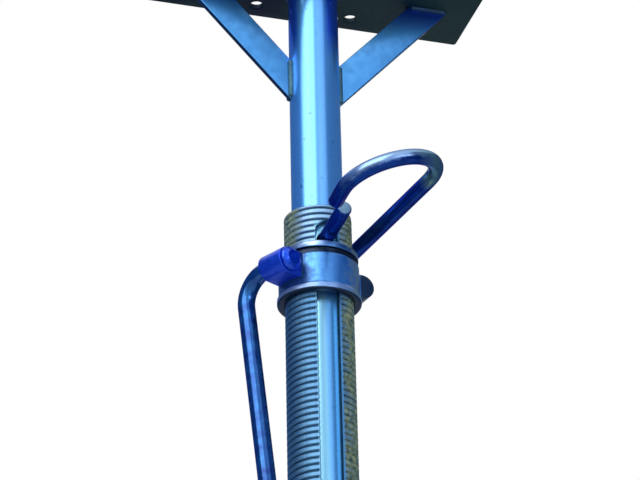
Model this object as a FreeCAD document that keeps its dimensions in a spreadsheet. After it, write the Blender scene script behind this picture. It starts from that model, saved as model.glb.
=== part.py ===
# Adjustable steel prop: a slotted, threaded outer tube on a base plate, a telescopic inner tube
# with a braced head plate, a bent locking pin, and a collar nut with a hinged handle.
# Frame: origin on the floor under the tube axis, +Z up, the slot faces the front (-Y).
import FreeCAD, Part
import Sketcher
import os

doc = FreeCAD.newDocument("AdjustableSteelProp")

# Driving dimensions, millimetres and degrees
DRIVING_DIMENSIONS = (
    ("base_side", 150), ("base_thickness", 8), ("base_corner_radius", 6),
    ("base_hole_spacing", 110), ("base_hole_diameter", 13),
    ("outer_tube_diameter", 60.3), ("outer_tube_wall", 4), ("outer_tube_length", 1600),
    ("thread_crest_diameter", 62.6), ("thread_length", 380), ("thread_runout", 3),
    ("rim_chamfer", 1),
    ("slot_width", 23), ("slot_length", 290), ("slot_end_below_rim", 16),
    ("inner_tube_diameter", 48.3), ("inner_tube_wall", 4), ("inner_tube_length", 1650),
    ("inner_tube_exposed", 253),
    ("pin_hole_diameter", 17), ("pin_hole_pitch", 250), ("pin_hole_count", 6),
    ("head_length", 330), ("head_width", 100), ("head_thickness", 6), ("head_corner_radius", 3),
    ("head_hole_spacing_long", 96), ("head_hole_spacing_short", 64), ("head_hole_diameter", 12),
    ("brace_width", 30), ("brace_thickness", 6), ("brace_drop", 126), ("brace_reach", 138),
    ("pin_diameter", 14), ("pin_below_rim", 32), ("pin_tilt", 17), ("pin_end_chamfer", 2),
    ("pin_front_reach", 84), ("pin_back_centre", 42), ("pin_arm_offset", 44.3), ("pin_arm_angle", 13.6),
    ("pin_loop_radius", 43.7), ("pin_return_offset", 13.6), ("pin_tip_reach", 98),
    ("running_clearance", 0.3),
    ("nut_height", 50), ("nut_body_diameter", 74), ("nut_lip_diameter", 77), ("nut_lip_height", 6),
    ("nut_flange_diameter", 73), ("nut_flange_height", 6.5),
    ("nut_groove_diameter", 67), ("nut_groove_height", 5.5), ("nut_chamfer", 1.2), ("nut_turned_to", 208.5),
    ("lug_below_top", 25), ("lug_bore_radius", 51), ("lug_nose_diameter", 25), ("lug_width", 28),
    ("strike_lug_angle", 163), ("strike_lug_radius", 40), ("strike_lug_nose_diameter", 23),
    ("strike_lug_width", 22),
    ("handle_diameter", 16), ("handle_side_reach", 46), ("handle_lean", 8), ("handle_length", 250),
    ("handle_bend_radius", 25), ("handle_end_chamfer", 2),
    ("handle_head_diameter", 23), ("handle_head_crown", 14), ("handle_head_height", 6),
)
sheet = doc.addObject("Spreadsheet::Sheet", "Dimensions")
for row, (alias, number) in enumerate(DRIVING_DIMENSIONS, start=1):
    sheet.set(f"A{row}", alias)
    sheet.set(f"B{row}", str(number))
    sheet.setAlias(f"B{row}", alias)
doc.recompute()


def dim(alias):
    """Expression for one cell of the sheet."""
    return f"Dimensions.{alias}"


def value(expression):
    """Present number of an expression."""
    return float(sheet.evalExpression(expression))


# Heights and radii that follow from the driving dimensions
RIM_Z = f"({dim('base_thickness')} + {dim('outer_tube_length')})"
HEAD_Z = f"({RIM_Z} + {dim('inner_tube_exposed')})"
PIN_Z = f"({RIM_Z} - {dim('pin_below_rim')})"
CLEAR = dim("running_clearance")
NUT_TOP_Z = f"({PIN_Z} - {dim('pin_diameter')} / 2 - {CLEAR})"
OUTER_RADIUS = f"({dim('outer_tube_diameter')} / 2)"
CREST_RADIUS = f"({dim('thread_crest_diameter')} / 2)"
INNER_RADIUS = f"({dim('inner_tube_diameter')} / 2)"


# Sketch and feature helpers
def new_body(label, z="0", turn="0", tilt="0", x="0", y="0"):
    """A body whose place is bound to the sheet: shifted, turned about Z and tilted about its own X."""
    body = doc.addObject("PartDesign::Body", label)
    body.Label = label
    place = f"create(<<vector>>; {x}; {y}; {z})"
    rotation = f"create(<<rotation>>; {turn}; 0; {tilt})"
    body.setExpression("Placement", f"create(<<placement>>; {place}; {rotation})")
    return body


def origin_part(body, role):
    """One of a body's own origin planes or axes."""
    return next(item for item in body.Origin.OriginFeatures if item.Role == role)


def new_sketch(body, role, name, offset="0"):
    """A sketch on an origin plane, moved along the plane's normal."""
    sketch = body.newObject("Sketcher::SketchObject", f"{body.Name}_{name}")
    sketch.AttachmentSupport = [(origin_part(body, role), "")]
    sketch.MapMode = "FlatFace"
    sketch.setExpression("AttachmentOffset.Base.z", offset)
    return sketch


def bind(sketch, constraint, expression):
    """Add a constraint with a datum and tie the datum to the sheet."""
    index = sketch.addConstraint(constraint)
    sketch.setExpression(f"Constraints[{index}]", expression)


def place_point(sketch, geometry, point, x, y):
    """Hold a sketch point at two coordinates given as expressions."""
    for kind, axis, expression in (("DistanceX", -2, x), ("DistanceY", -1, y)):
        if expression == "0":
            sketch.addConstraint(Sketcher.Constraint("PointOnObject", geometry, point, axis))
        else:
            datum = Sketcher.Constraint(kind, -1, 1, geometry, point, value(expression))
            bind(sketch, datum, expression)


def add_outline(sketch, corners):
    """A closed outline of straight edges through corners given as pairs of expressions."""
    points = [FreeCAD.Vector(value(x), value(y), 0) for x, y in corners]
    first = sketch.GeometryCount
    for start, end in zip(points, points[1:] + points[:1]):
        sketch.addGeometry(Part.LineSegment(start, end), False)
    count = len(points)
    for step in range(count):
        following = first + (step + 1) % count
        sketch.addConstraint(Sketcher.Constraint("Coincident", first + step, 2, following, 1))
    for step, (x, y) in enumerate(corners):
        place_point(sketch, first + step, 1, x, y)


def add_circle(sketch, x, y, diameter):
    """A circle held by its centre and diameter."""
    centre = FreeCAD.Vector(value(x), value(y), 0)
    circle = Part.Circle(centre, FreeCAD.Vector(0, 0, 1), value(diameter) / 2)
    geometry = sketch.addGeometry(circle, False)
    place_point(sketch, geometry, 3, x, y)
    bind(sketch, Sketcher.Constraint("Diameter", geometry, value(diameter)), diameter)


def add_rounded_lug(sketch, root, nose, height, nose_diameter):
    """A lug outline: two level edges from a root line to a half-round nose."""
    radius = value(nose_diameter) / 2
    level = value(height)
    root_x = value(root)
    nose_x = value(nose)
    top = (FreeCAD.Vector(root_x, level + radius, 0), FreeCAD.Vector(nose_x, level + radius, 0))
    bottom = (FreeCAD.Vector(nose_x, level - radius, 0), FreeCAD.Vector(root_x, level - radius, 0))
    middle = FreeCAD.Vector(nose_x + radius, level, 0)
    upper = sketch.addGeometry(Part.LineSegment(*top), False)
    round_nose = sketch.addGeometry(Part.Arc(bottom[0], middle, top[1]), False)
    lower = sketch.addGeometry(Part.LineSegment(*bottom), False)
    back = sketch.addGeometry(Part.LineSegment(bottom[1], top[0]), False)
    sketch.addConstraint(Sketcher.Constraint("Tangent", upper, 2, round_nose, 2))
    sketch.addConstraint(Sketcher.Constraint("Tangent", round_nose, 1, lower, 1))
    sketch.addConstraint(Sketcher.Constraint("Coincident", lower, 2, back, 1))
    sketch.addConstraint(Sketcher.Constraint("Coincident", back, 2, upper, 1))
    sketch.addConstraint(Sketcher.Constraint("Horizontal", upper))
    sketch.addConstraint(Sketcher.Constraint("Vertical", back))
    place_point(sketch, round_nose, 3, nose, height)
    bind(sketch, Sketcher.Constraint("Radius", round_nose, radius), f"{nose_diameter} / 2")
    bind(sketch, Sketcher.Constraint("DistanceX", -1, 1, back, 1, root_x), root)


def pad(body, sketch, length, midplane=False):
    feature = body.newObject("PartDesign::Pad", f"{sketch.Name}_pad")
    feature.Profile = sketch
    feature.setExpression("Length", length)
    feature.SideType = "Symmetric" if midplane else "One side"
    return feature


def pocket_through(body, sketch):
    """Cut a sketch right through the body, both ways from its plane."""
    feature = body.newObject("PartDesign::Pocket", f"{sketch.Name}_pocket")
    feature.Profile = sketch
    feature.Type = "ThroughAll"
    feature.SideType = "Symmetric"
    return feature


def revolve(body, sketch):
    feature = body.newObject("PartDesign::Revolution", f"{sketch.Name}_revolution")
    feature.Profile = sketch
    feature.ReferenceAxis = (origin_part(body, "Z_Axis"), [""])
    feature.Angle = 360
    return feature


def sweep(body, profile, path):
    """Sweep a round section along a planar path of lines and tangent arcs."""
    doc.recompute()
    feature = body.newObject("PartDesign::AdditivePipe", f"{path.Name}_pipe")
    feature.Profile = profile
    edges = [f"Edge{number}" for number in range(1, len(path.Shape.Edges) + 1)]
    feature.Spine = (path, edges)
    return feature


def dress(body, kind, base, wanted, expression):
    """Fillet or chamfer the edges of the last feature that pass a test."""
    doc.recompute()
    edges = [f"Edge{n}" for n, edge in enumerate(base.Shape.Edges, start=1) if wanted(edge)]
    feature = body.newObject(f"PartDesign::{kind}", f"{base.Name}_{kind.lower()}")
    feature.Base = (base, edges)
    feature.setExpression("Radius" if kind == "Fillet" else "Size", expression)
    return feature


# How closely an edge has to agree with what it is picked for
SAME_SIZE = 0.001


def is_upright(edge):
    """A straight edge along Z, so its two ends lie one above the other."""
    start, end = edge.valueAt(edge.FirstParameter), edge.valueAt(edge.LastParameter)
    sideways = FreeCAD.Vector(end.x - start.x, end.y - start.y, 0)
    return isinstance(edge.Curve, Part.Line) and sideways.Length < SAME_SIZE


def is_rod_end(edge, diameter):
    """A full circle of a rod's own diameter, which only its two ends have."""
    round_edge = isinstance(edge.Curve, Part.Circle) and edge.isClosed()
    return round_edge and abs(edge.Curve.Radius - value(diameter) / 2) < SAME_SIZE


# Base plate and head plate: flat plates with four holes and eased corners
def make_plate(label, z, length, width, thickness, corner_radius, spacing, hole_diameter):
    body = new_body(label, z=z)
    outline = new_sketch(body, "XY_Plane", "outline")
    half_x = f"{length} / 2"
    half_y = f"{width} / 2"
    add_outline(outline, [(f"-{half_x}", f"-{half_y}"), (half_x, f"-{half_y}"),
                          (half_x, half_y), (f"-{half_x}", half_y)])
    plate = pad(body, outline, thickness)
    dress(body, "Fillet", plate, is_upright, corner_radius)
    holes = new_sketch(body, "XY_Plane", "holes")
    for sign_x in ("", "-"):
        for sign_y in ("", "-"):
            add_circle(holes, f"{sign_x}{spacing[0]} / 2", f"{sign_y}{spacing[1]} / 2", hole_diameter)
    pocket_through(body, holes)
    return body


# Outer tube: plain below, rolled thread above, slotted through front and back
def make_outer_tube():
    body = new_body("outer_tube", z=dim("base_thickness"))
    profile = new_sketch(body, "XZ_Plane", "profile")
    bore = f"({OUTER_RADIUS} - {dim('outer_tube_wall')})"
    top = dim("outer_tube_length")
    thread_foot = f"({top} - {dim('thread_length')})"
    add_outline(profile, [
        (bore, "0"), (OUTER_RADIUS, "0"),
        (OUTER_RADIUS, f"{thread_foot} - {dim('thread_runout')}"), (CREST_RADIUS, thread_foot),
        (CREST_RADIUS, f"{top} - {dim('rim_chamfer')}"), (f"{CREST_RADIUS} - {dim('rim_chamfer')}", top),
        (bore, top)])
    revolve(body, profile)
    slot = new_sketch(body, "XZ_Plane", "slot")
    add_slot(slot, f"{top} - {dim('slot_end_below_rim')}", dim("slot_length"), dim("slot_width"))
    pocket_through(body, slot)
    return body


def add_slot(sketch, top, length, width):
    """An upright slot with half-round ends, centred on the tube axis."""
    radius = value(width) / 2
    high = value(top) - radius
    low = value(top) - value(length) + radius
    right_side = Part.LineSegment(FreeCAD.Vector(radius, low, 0), FreeCAD.Vector(radius, high, 0))
    left_side = Part.LineSegment(FreeCAD.Vector(-radius, high, 0), FreeCAD.Vector(-radius, low, 0))
    upper_end = Part.Arc(FreeCAD.Vector(radius, high, 0), FreeCAD.Vector(0, high + radius, 0),
                         FreeCAD.Vector(-radius, high, 0))
    lower_end = Part.Arc(FreeCAD.Vector(-radius, low, 0), FreeCAD.Vector(0, low - radius, 0),
                         FreeCAD.Vector(radius, low, 0))
    right = sketch.addGeometry(right_side, False)
    upper = sketch.addGeometry(upper_end, False)
    left = sketch.addGeometry(left_side, False)
    lower = sketch.addGeometry(lower_end, False)
    sketch.addConstraint(Sketcher.Constraint("Tangent", right, 2, upper, 1))
    sketch.addConstraint(Sketcher.Constraint("Tangent", upper, 2, left, 1))
    sketch.addConstraint(Sketcher.Constraint("Tangent", left, 2, lower, 1))
    sketch.addConstraint(Sketcher.Constraint("Tangent", lower, 2, right, 1))
    sketch.addConstraint(Sketcher.Constraint("Vertical", right))
    place_point(sketch, upper, 3, "0", f"{top} - {width} / 2")
    bind(sketch, Sketcher.Constraint("DistanceY", -1, 1, lower, 3, low), f"{top} - {length} + {width} / 2")
    bind(sketch, Sketcher.Constraint("Radius", upper, radius), f"{width} / 2")


# Inner tube: cross holes for the locking pin, evenly spaced down from the first
def make_inner_tube():
    length = dim("inner_tube_length")
    body = new_body("inner_tube", z=f"{HEAD_Z} - {length}")
    section = new_sketch(body, "XY_Plane", "section")
    add_circle(section, "0", "0", dim("inner_tube_diameter"))
    add_circle(section, "0", "0", f"{dim('inner_tube_diameter')} - 2 * {dim('inner_tube_wall')}")
    pad(body, section, length)
    hole = new_sketch(body, "XZ_Plane", "hole")
    hang = f"({dim('pin_hole_diameter')} / 2 - {dim('pin_diameter')} / 2 - {CLEAR})"
    first_hole = f"{length} - ({HEAD_Z} - {PIN_Z}) - {hang}"
    add_circle(hole, "0", first_hole, dim("pin_hole_diameter"))
    cut = pocket_through(body, hole)
    pattern = body.newObject("PartDesign::LinearPattern", "inner_tube_holes")
    pattern.Originals = [cut]
    pattern.Direction = (origin_part(body, "Z_Axis"), [""])
    pattern.Reversed = True
    pattern.setExpression("Occurrences", dim("pin_hole_count"))
    pattern.setExpression("Length", f"{dim('pin_hole_pitch')} * ({dim('pin_hole_count')} - 1)")
    body.Tip = pattern
    return body


# Braces: flat bars cut upright at the tube and level under the head plate
def make_brace(label, side):
    body = new_body(label, z=HEAD_Z)
    profile = new_sketch(body, "XZ_Plane", "profile")
    run = f"({dim('brace_reach')} - {INNER_RADIUS})"
    slope = f"sqrt({run} ^ 2 + {dim('brace_drop')} ^ 2)"
    top_inner = f"({dim('brace_reach')} - {dim('brace_width')} * {slope} / {dim('brace_drop')})"
    tube_upper = f"({dim('brace_width')} * {slope} / {run} - {dim('brace_drop')})"
    add_outline(profile, [(f"{side}{INNER_RADIUS}", f"-{dim('brace_drop')}"),
                          (f"{side}{dim('brace_reach')}", "0"),
                          (f"{side}{top_inner}", "0"),
                          (f"{side}{INNER_RADIUS}", tube_upper)])
    pad(body, profile, dim("brace_thickness"), midplane=True)
    return body


# Locking pin: one bent rod, a straight bar through the tubes and a loop that comes round to its front
def make_locking_pin():
    body = new_body("locking_pin", z=PIN_Z, turn="-90", tilt=dim("pin_tilt"))
    path = new_sketch(body, "XY_Plane", "path")
    angle = value(dim("pin_arm_angle"))
    along = FreeCAD.Vector(value(f"cos({angle})"), value(f"sin({angle})"), 0)
    outward = FreeCAD.Vector(-along.y, along.x, 0)
    arm_offset = value(dim("pin_arm_offset"))
    back = value(dim("pin_back_centre"))
    back_radius = (arm_offset - back * along.y) / (1 + along.x)
    back_centre = FreeCAD.Vector(-back, back_radius, 0)
    loop_radius = value(dim("pin_loop_radius"))
    return_level = -value(dim("pin_return_offset"))
    loop_y = return_level + loop_radius
    loop_x = ((along.x * loop_y + loop_radius) - arm_offset) / along.y
    loop_centre = FreeCAD.Vector(loop_x, loop_y, 0)
    level = FreeCAD.Vector(1, 0, 0)
    sideways = FreeCAD.Vector(0, 1, 0)
    bar_front = level * value(dim("pin_front_reach"))
    bar_back = level * -back
    arm_back = back_centre + outward * back_radius
    arm_front = loop_centre + outward * loop_radius
    loop_foot = loop_centre - sideways * loop_radius
    tip = FreeCAD.Vector(value(dim("pin_tip_reach")), return_level, 0)
    bar = path.addGeometry(Part.LineSegment(bar_front, bar_back), False)
    back_bend = path.addGeometry(Part.Arc(bar_back, back_centre - level * back_radius, arm_back), False)
    arm = path.addGeometry(Part.LineSegment(arm_back, arm_front), False)
    loop = path.addGeometry(Part.Arc(arm_front, loop_centre + level * loop_radius, loop_foot), False)
    hook = path.addGeometry(Part.LineSegment(loop_foot, tip), False)
    # A sketch stores an arc counter-clockwise, so each arc is entered at its second point.
    path.addConstraint(Sketcher.Constraint("Tangent", bar, 2, back_bend, 2))
    path.addConstraint(Sketcher.Constraint("Tangent", back_bend, 1, arm, 1))
    path.addConstraint(Sketcher.Constraint("Tangent", arm, 2, loop, 2))
    path.addConstraint(Sketcher.Constraint("Tangent", loop, 1, hook, 1))
    path.addConstraint(Sketcher.Constraint("Horizontal", bar))
    path.addConstraint(Sketcher.Constraint("Horizontal", hook))
    place_point(path, bar, 1, dim("pin_front_reach"), "0")
    place_point(path, hook, 2, dim("pin_tip_reach"), f"-{dim('pin_return_offset')}")
    bind(path, Sketcher.Constraint("DistanceX", -1, 1, back_bend, 3, -back), f"-{dim('pin_back_centre')}")
    bind(path, Sketcher.Constraint("Distance", -1, 1, arm, arm_offset), dim("pin_arm_offset"))
    arm_slope = Sketcher.Constraint("Angle", -1, 1, arm, 1, value(f"{angle} * pi / 180"))
    bind(path, arm_slope, dim("pin_arm_angle"))
    bind(path, Sketcher.Constraint("Radius", loop, loop_radius), dim("pin_loop_radius"))
    section = new_sketch(body, "YZ_Plane", "section", offset=dim("pin_front_reach"))
    add_circle(section, "0", "0", dim("pin_diameter"))
    rod = sweep(body, section, path)
    dress(body, "Chamfer", rod, lambda edge: is_rod_end(edge, dim("pin_diameter")), dim("pin_end_chamfer"))
    return body


# Collar nut: a turned ring with a bearing flange, a groove, a foot lip and two cast lugs
def make_collar_nut():
    body = new_body("collar_nut", z=NUT_TOP_Z, turn=dim("nut_turned_to"))
    bore = f"({CREST_RADIUS} + {CLEAR})"
    ease = dim("nut_chamfer")
    flange = f"({dim('nut_flange_diameter')} / 2)"
    groove = f"({dim('nut_groove_diameter')} / 2)"
    barrel = f"({dim('nut_body_diameter')} / 2)"
    lip = f"({dim('nut_lip_diameter')} / 2)"
    flange_foot = f"(-{dim('nut_flange_height')})"
    groove_foot = f"({flange_foot} - {dim('nut_groove_height')})"
    foot = f"(-{dim('nut_height')})"
    lip_top = f"({foot} + {dim('nut_lip_height')})"
    profile = new_sketch(body, "XZ_Plane", "profile")
    add_outline(profile, [
        (bore, "0"), (f"{flange} - {ease}", "0"), (flange, f"-{ease}"),
        (flange, flange_foot), (groove, flange_foot),
        (groove, groove_foot), (f"{barrel} - {ease}", groove_foot), (barrel, f"{groove_foot} - {ease}"),
        (barrel, f"{lip_top} + {lip} - {barrel}"), (lip, lip_top),
        (lip, f"{foot} + {ease}"), (f"{lip} - {ease}", foot), (bore, foot)])
    revolve(body, profile)
    lug_level = f"-{dim('lug_below_top')}"
    root = f"({bore} + {barrel}) / 2"
    hinge_lug = new_sketch(body, "XZ_Plane", "hinge_lug")
    add_rounded_lug(hinge_lug, root, dim("lug_bore_radius"), lug_level, dim("lug_nose_diameter"))
    pad(body, hinge_lug, dim("lug_width"), midplane=True)
    strike = add_strike_lug(body, root, lug_level)
    pad(body, strike, dim("strike_lug_width"), midplane=True)
    hinge_bore = new_sketch(body, "XZ_Plane", "hinge_bore")
    add_circle(hinge_bore, dim("lug_bore_radius"), lug_level, f"{dim('handle_diameter')} + 2 * {CLEAR}")
    pocket_through(body, hinge_bore)
    return body


def add_strike_lug(body, root, level):
    """The plain lug opposite the hinge, drawn on a plane turned about the nut's axis."""
    plane = body.newObject("PartDesign::Plane", "strike_lug_plane")
    plane.AttachmentSupport = [(origin_part(body, "XZ_Plane"), "")]
    plane.MapMode = "FlatFace"
    turn = f"create(<<rotation>>; create(<<vector>>; 0; 1; 0); {dim('strike_lug_angle')})"
    plane.setExpression("AttachmentOffset", f"create(<<placement>>; create(<<vector>>; 0; 0; 0); {turn})")
    sketch = body.newObject("Sketcher::SketchObject", "strike_lug_outline")
    sketch.AttachmentSupport = [(plane, "")]
    sketch.MapMode = "FlatFace"
    add_rounded_lug(sketch, root, dim("strike_lug_radius"), level, dim("strike_lug_nose_diameter"))
    return sketch


# Handle: a bent rod hinged in the lug, headed over on the near side and hanging on the far side
def make_handle():
    turn = dim("nut_turned_to")
    reach = dim("lug_bore_radius")
    body = new_body("nut_handle", x=f"{reach} * cos({turn})", y=f"{reach} * sin({turn})",
                    z=f"{NUT_TOP_Z} - {dim('lug_below_top')}", turn=turn)
    path = new_sketch(body, "YZ_Plane", "path")
    lug_face = f"({dim('lug_width')} / 2 + {CLEAR})"
    lean = value(dim("handle_lean"))
    radius = value(dim("handle_bend_radius"))
    side = -value(dim("handle_side_reach"))
    down = FreeCAD.Vector(value(f"sin({lean})"), -value(f"cos({lean})"), 0)
    corner = FreeCAD.Vector(side, 0, 0)
    trim = radius * value(f"tan((90 + {lean}) / 2)")
    head_end = FreeCAD.Vector(value(lug_face), 0, 0)
    bend_start = corner + FreeCAD.Vector(trim, 0, 0)
    bend_end = corner + down * trim
    centre = bend_start + FreeCAD.Vector(0, -radius, 0)
    middle = centre + (corner - centre).normalize() * radius
    low_end = corner + down * value(dim("handle_length"))
    short_leg = path.addGeometry(Part.LineSegment(head_end, bend_start), False)
    bend = path.addGeometry(Part.Arc(bend_start, middle, bend_end), False)
    lever = path.addGeometry(Part.LineSegment(bend_end, low_end), False)
    apex = path.addGeometry(Part.Point(corner), True)
    path.addConstraint(Sketcher.Constraint("Tangent", short_leg, 2, bend, 1))
    path.addConstraint(Sketcher.Constraint("Tangent", bend, 2, lever, 1))
    path.addConstraint(Sketcher.Constraint("Horizontal", short_leg))
    path.addConstraint(Sketcher.Constraint("PointOnObject", apex, 1, lever))
    place_point(path, short_leg, 1, lug_face, "0")
    place_point(path, apex, 1, f"-{dim('handle_side_reach')}", "0")
    end_y = f"{dim('handle_length')} * sin({dim('handle_lean')}) - {dim('handle_side_reach')}"
    end_z = f"-{dim('handle_length')} * cos({dim('handle_lean')})"
    place_point(path, lever, 2, end_y, end_z)
    bind(path, Sketcher.Constraint("Radius", bend, radius), dim("handle_bend_radius"))
    section = new_sketch(body, "XZ_Plane", "section", offset=f"-{lug_face}")
    add_circle(section, "0", "0", dim("handle_diameter"))
    rod = sweep(body, section, path)
    doc.recompute()
    low_z = low_end.y / 2
    dress(body, "Chamfer", rod,
          lambda edge: is_rod_end(edge, dim("handle_diameter")) and edge.Curve.Center.z < low_z,
          dim("handle_end_chamfer"))
    head = new_sketch(body, "YZ_Plane", "head")
    head_radius = f"({dim('handle_head_diameter')} / 2)"
    head_top = f"({lug_face} + {dim('handle_head_height')})"
    shoulder = f"({lug_face} + {dim('handle_head_height')} / 2)"
    add_outline(head, [(lug_face, "0"), (lug_face, head_radius), (shoulder, head_radius),
                       (head_top, f"{dim('handle_head_crown')} / 2"), (head_top, "0")])
    button = body.newObject("PartDesign::Revolution", "nut_handle_button")
    button.Profile = head
    button.ReferenceAxis = (origin_part(body, "Y_Axis"), [""])
    button.Angle = 360
    return body


base_plate = make_plate("base_plate", "0", dim("base_side"), dim("base_side"), dim("base_thickness"),
                        dim("base_corner_radius"), (dim("base_hole_spacing"), dim("base_hole_spacing")),
                        dim("base_hole_diameter"))
head_plate = make_plate("head_plate", HEAD_Z, dim("head_length"), dim("head_width"), dim("head_thickness"),
                        dim("head_corner_radius"),
                        (dim("head_hole_spacing_long"), dim("head_hole_spacing_short")),
                        dim("head_hole_diameter"))
pieces = [base_plate, make_outer_tube(), make_inner_tube(), head_plate,
          make_brace("brace_left", "-"), make_brace("brace_right", ""),
          make_locking_pin(), make_collar_nut(), make_handle()]
doc.recompute()

# Nothing is written unless every object and every piece came out sound
for item in doc.Objects:
    if "Invalid" in item.State or "Error" in item.State:
        raise RuntimeError(f"{item.Label} failed: {item.State}")
for piece in pieces:
    if piece.Shape.isNull() or not piece.Shape.isValid() or len(piece.Shape.Solids) != 1:
        raise RuntimeError(f"{piece.Label} is not one sound solid")
    print(piece.Label, round(piece.Shape.Volume, 1), piece.Shape.BoundBox)
os.makedirs("parts", exist_ok=True)
for piece in pieces:
    piece.Shape.exportStep(f"parts/{piece.Label}.step")
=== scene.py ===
# %% [markdown]
# # An adjustable steel prop
# A prop is a post that holds up a floor while it is built. A thin tube slides in a thick one, a bent
# pin goes through both, and a collar nut under the pin lifts the load by the last few centimetres.
# This lesson dresses a finished CAD model of it. The CAD gives the sizes and the joints, and Blender
# adds what the solids leave out: the rolled thread, the welds, softened edges and the worn blue paint.

# %% Load the frame
from math import atan2, cos, degrees, hypot, pi, radians, sin, tan

import bpy
from mathutils import Matrix, Vector


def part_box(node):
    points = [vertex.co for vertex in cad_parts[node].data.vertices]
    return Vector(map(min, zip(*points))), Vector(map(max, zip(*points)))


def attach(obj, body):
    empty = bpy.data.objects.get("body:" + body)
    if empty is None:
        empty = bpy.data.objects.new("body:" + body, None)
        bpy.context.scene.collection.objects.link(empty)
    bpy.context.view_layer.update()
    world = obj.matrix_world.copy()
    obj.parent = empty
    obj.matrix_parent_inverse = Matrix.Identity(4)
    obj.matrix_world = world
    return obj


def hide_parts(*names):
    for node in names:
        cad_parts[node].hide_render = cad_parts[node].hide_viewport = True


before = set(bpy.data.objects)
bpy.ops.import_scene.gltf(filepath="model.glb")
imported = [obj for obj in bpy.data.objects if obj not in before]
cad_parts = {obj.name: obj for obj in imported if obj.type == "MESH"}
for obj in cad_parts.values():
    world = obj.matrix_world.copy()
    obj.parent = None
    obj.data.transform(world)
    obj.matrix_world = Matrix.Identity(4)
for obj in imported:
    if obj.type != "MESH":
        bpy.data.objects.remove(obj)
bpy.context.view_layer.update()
MM = 0.001
X, Y, Z = 0, 1, 2


def low(node, axis):
    """Lowest coordinate of a CAD node along one axis."""
    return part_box(node)[0][axis]


def high(node, axis):
    """Highest coordinate of a CAD node along one axis."""
    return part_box(node)[1][axis]


BASE_TOP = high("base_plate", Z)
RIM = high("outer_tube", Z)
HEAD_UNDER = low("head_plate", Z)

# %% [markdown]
# ## The camera
# The photograph was taken from near the ground with a long lens, looking up. A camera could be turned
# by eye until the tube and the head plate fall into place. Here its place and its three turns are named
# numbers, found once from the plate's edges and the tube's sides, so that they can be read and changed.
# Lengths are in metres and angles in radians, as Blender wants them in Python. A camera that isn't
# turned looks straight down, so a quarter turn lifts it to the horizon before its pitch is added.

# %% Camera
IMAGE_WIDTH = 640
FOCAL_PIXELS = 2283.4
SENSOR_WIDTH = 36.0
CAMERA_DISTANCE = 1.8426
CAMERA_BELOW_HEAD = 1.27995
CAMERA_AZIMUTH = 0.294
CAMERA_PITCH = 0.500
CAMERA_ROLL = -0.023
CAMERA_YAW = -0.001


def add_new(name, add, **settings):
    """Add an object by an operator, with nothing else selected, and name it."""
    bpy.ops.object.select_all(action="DESELECT")
    add(**settings)
    new = bpy.context.object
    new.name = name
    return new


towards_camera = Vector((-sin(CAMERA_AZIMUTH), -cos(CAMERA_AZIMUTH), 0))
camera_place = towards_camera * CAMERA_DISTANCE
camera_place.z = HEAD_UNDER - CAMERA_BELOW_HEAD
heading = Matrix.Rotation(CAMERA_YAW - CAMERA_AZIMUTH, 4, "Z")
pitch = Matrix.Rotation(pi / 2 + CAMERA_PITCH, 4, "X")
roll = Matrix.Rotation(CAMERA_ROLL, 4, "Z")
camera = add_new("photo_camera", bpy.ops.object.camera_add)
camera.data.sensor_fit = "HORIZONTAL"
camera.data.sensor_width = SENSOR_WIDTH
camera.data.lens = FOCAL_PIXELS * SENSOR_WIDTH / IMAGE_WIDTH
camera.matrix_world = Matrix.Translation(camera_place) @ heading @ pitch @ roll
bpy.context.scene.camera = camera
bpy.context.scene.view_settings.view_transform = "Standard"
print("lens", round(camera.data.lens, 2), "mm at", [round(c, 3) for c in camera_place])

# %% [markdown]
# ## Hand tools
# Every piece is modelled as it would be by hand: add a primitive, go into edit mode, pick what to move,
# extrude, spin, bevel or cut it. The next helpers wrap the clicks that come up again and again.
# They deselect first, because an operator acts on all that is selected.

# %% Helpers for picking and editing
SAME_PLACE = 0.01 * MM


def only(piece):
    """Make one piece the selected and active object."""
    bpy.ops.object.select_all(action="DESELECT")
    piece.select_set(True)
    bpy.context.view_layer.objects.active = piece


def edit_all(piece):
    """Go into edit mode on one piece, with all of it selected."""
    only(piece)
    bpy.ops.object.mode_set(mode="EDIT")
    bpy.ops.mesh.select_all(action="SELECT")


def stop_editing():
    """Go back to object mode."""
    bpy.ops.object.mode_set(mode="OBJECT")


def start_piece(name, add_primitive, **settings):
    """Add a primitive, put its place into its mesh and go into edit mode with all of it selected."""
    piece = add_new(name, add_primitive, **settings)
    piece.data.name = name
    bpy.ops.object.transform_apply(location=True, rotation=True, scale=True)
    edit_all(piece)
    bpy.ops.mesh.select_mode(type="VERT")
    return piece


def pick(piece, kind, parts, wanted):
    """Select those parts of a mesh, all of one kind, that pass a test."""
    bpy.ops.mesh.select_mode(type=kind)
    bpy.ops.mesh.select_all(action="DESELECT")
    stop_editing()
    for part in getattr(piece.data, parts):
        part.select = wanted(part)
    bpy.ops.object.mode_set(mode="EDIT")


def pick_points(piece, wanted):
    """Select the points of a mesh whose place passes a test."""
    pick(piece, "VERT", "vertices", lambda point: wanted(point.co))


def pick_edges(piece, wanted):
    """Select the edges of a mesh whose two ends pass a test."""
    def ends_of(edge):
        return [piece.data.vertices[number].co for number in edge.vertices]

    pick(piece, "EDGE", "edges", lambda edge: wanted(*ends_of(edge)))


def pick_faces(piece, wanted):
    """Select the faces of a mesh whose centre passes a test."""
    pick(piece, "FACE", "polygons", lambda face: wanted(face.center))


print("points closer than", SAME_PLACE / MM, "mm count as one")

# %% Helpers for shaping and finishing
SMOOTH_BELOW = radians(32)


def place(piece, at, turn=(0, 0, 0)):
    """Turn and move a piece, then put its place into its mesh."""
    only(piece)
    piece.rotation_euler = turn
    piece.location = at
    bpy.ops.object.transform_apply(location=True, rotation=True, scale=True)


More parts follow.
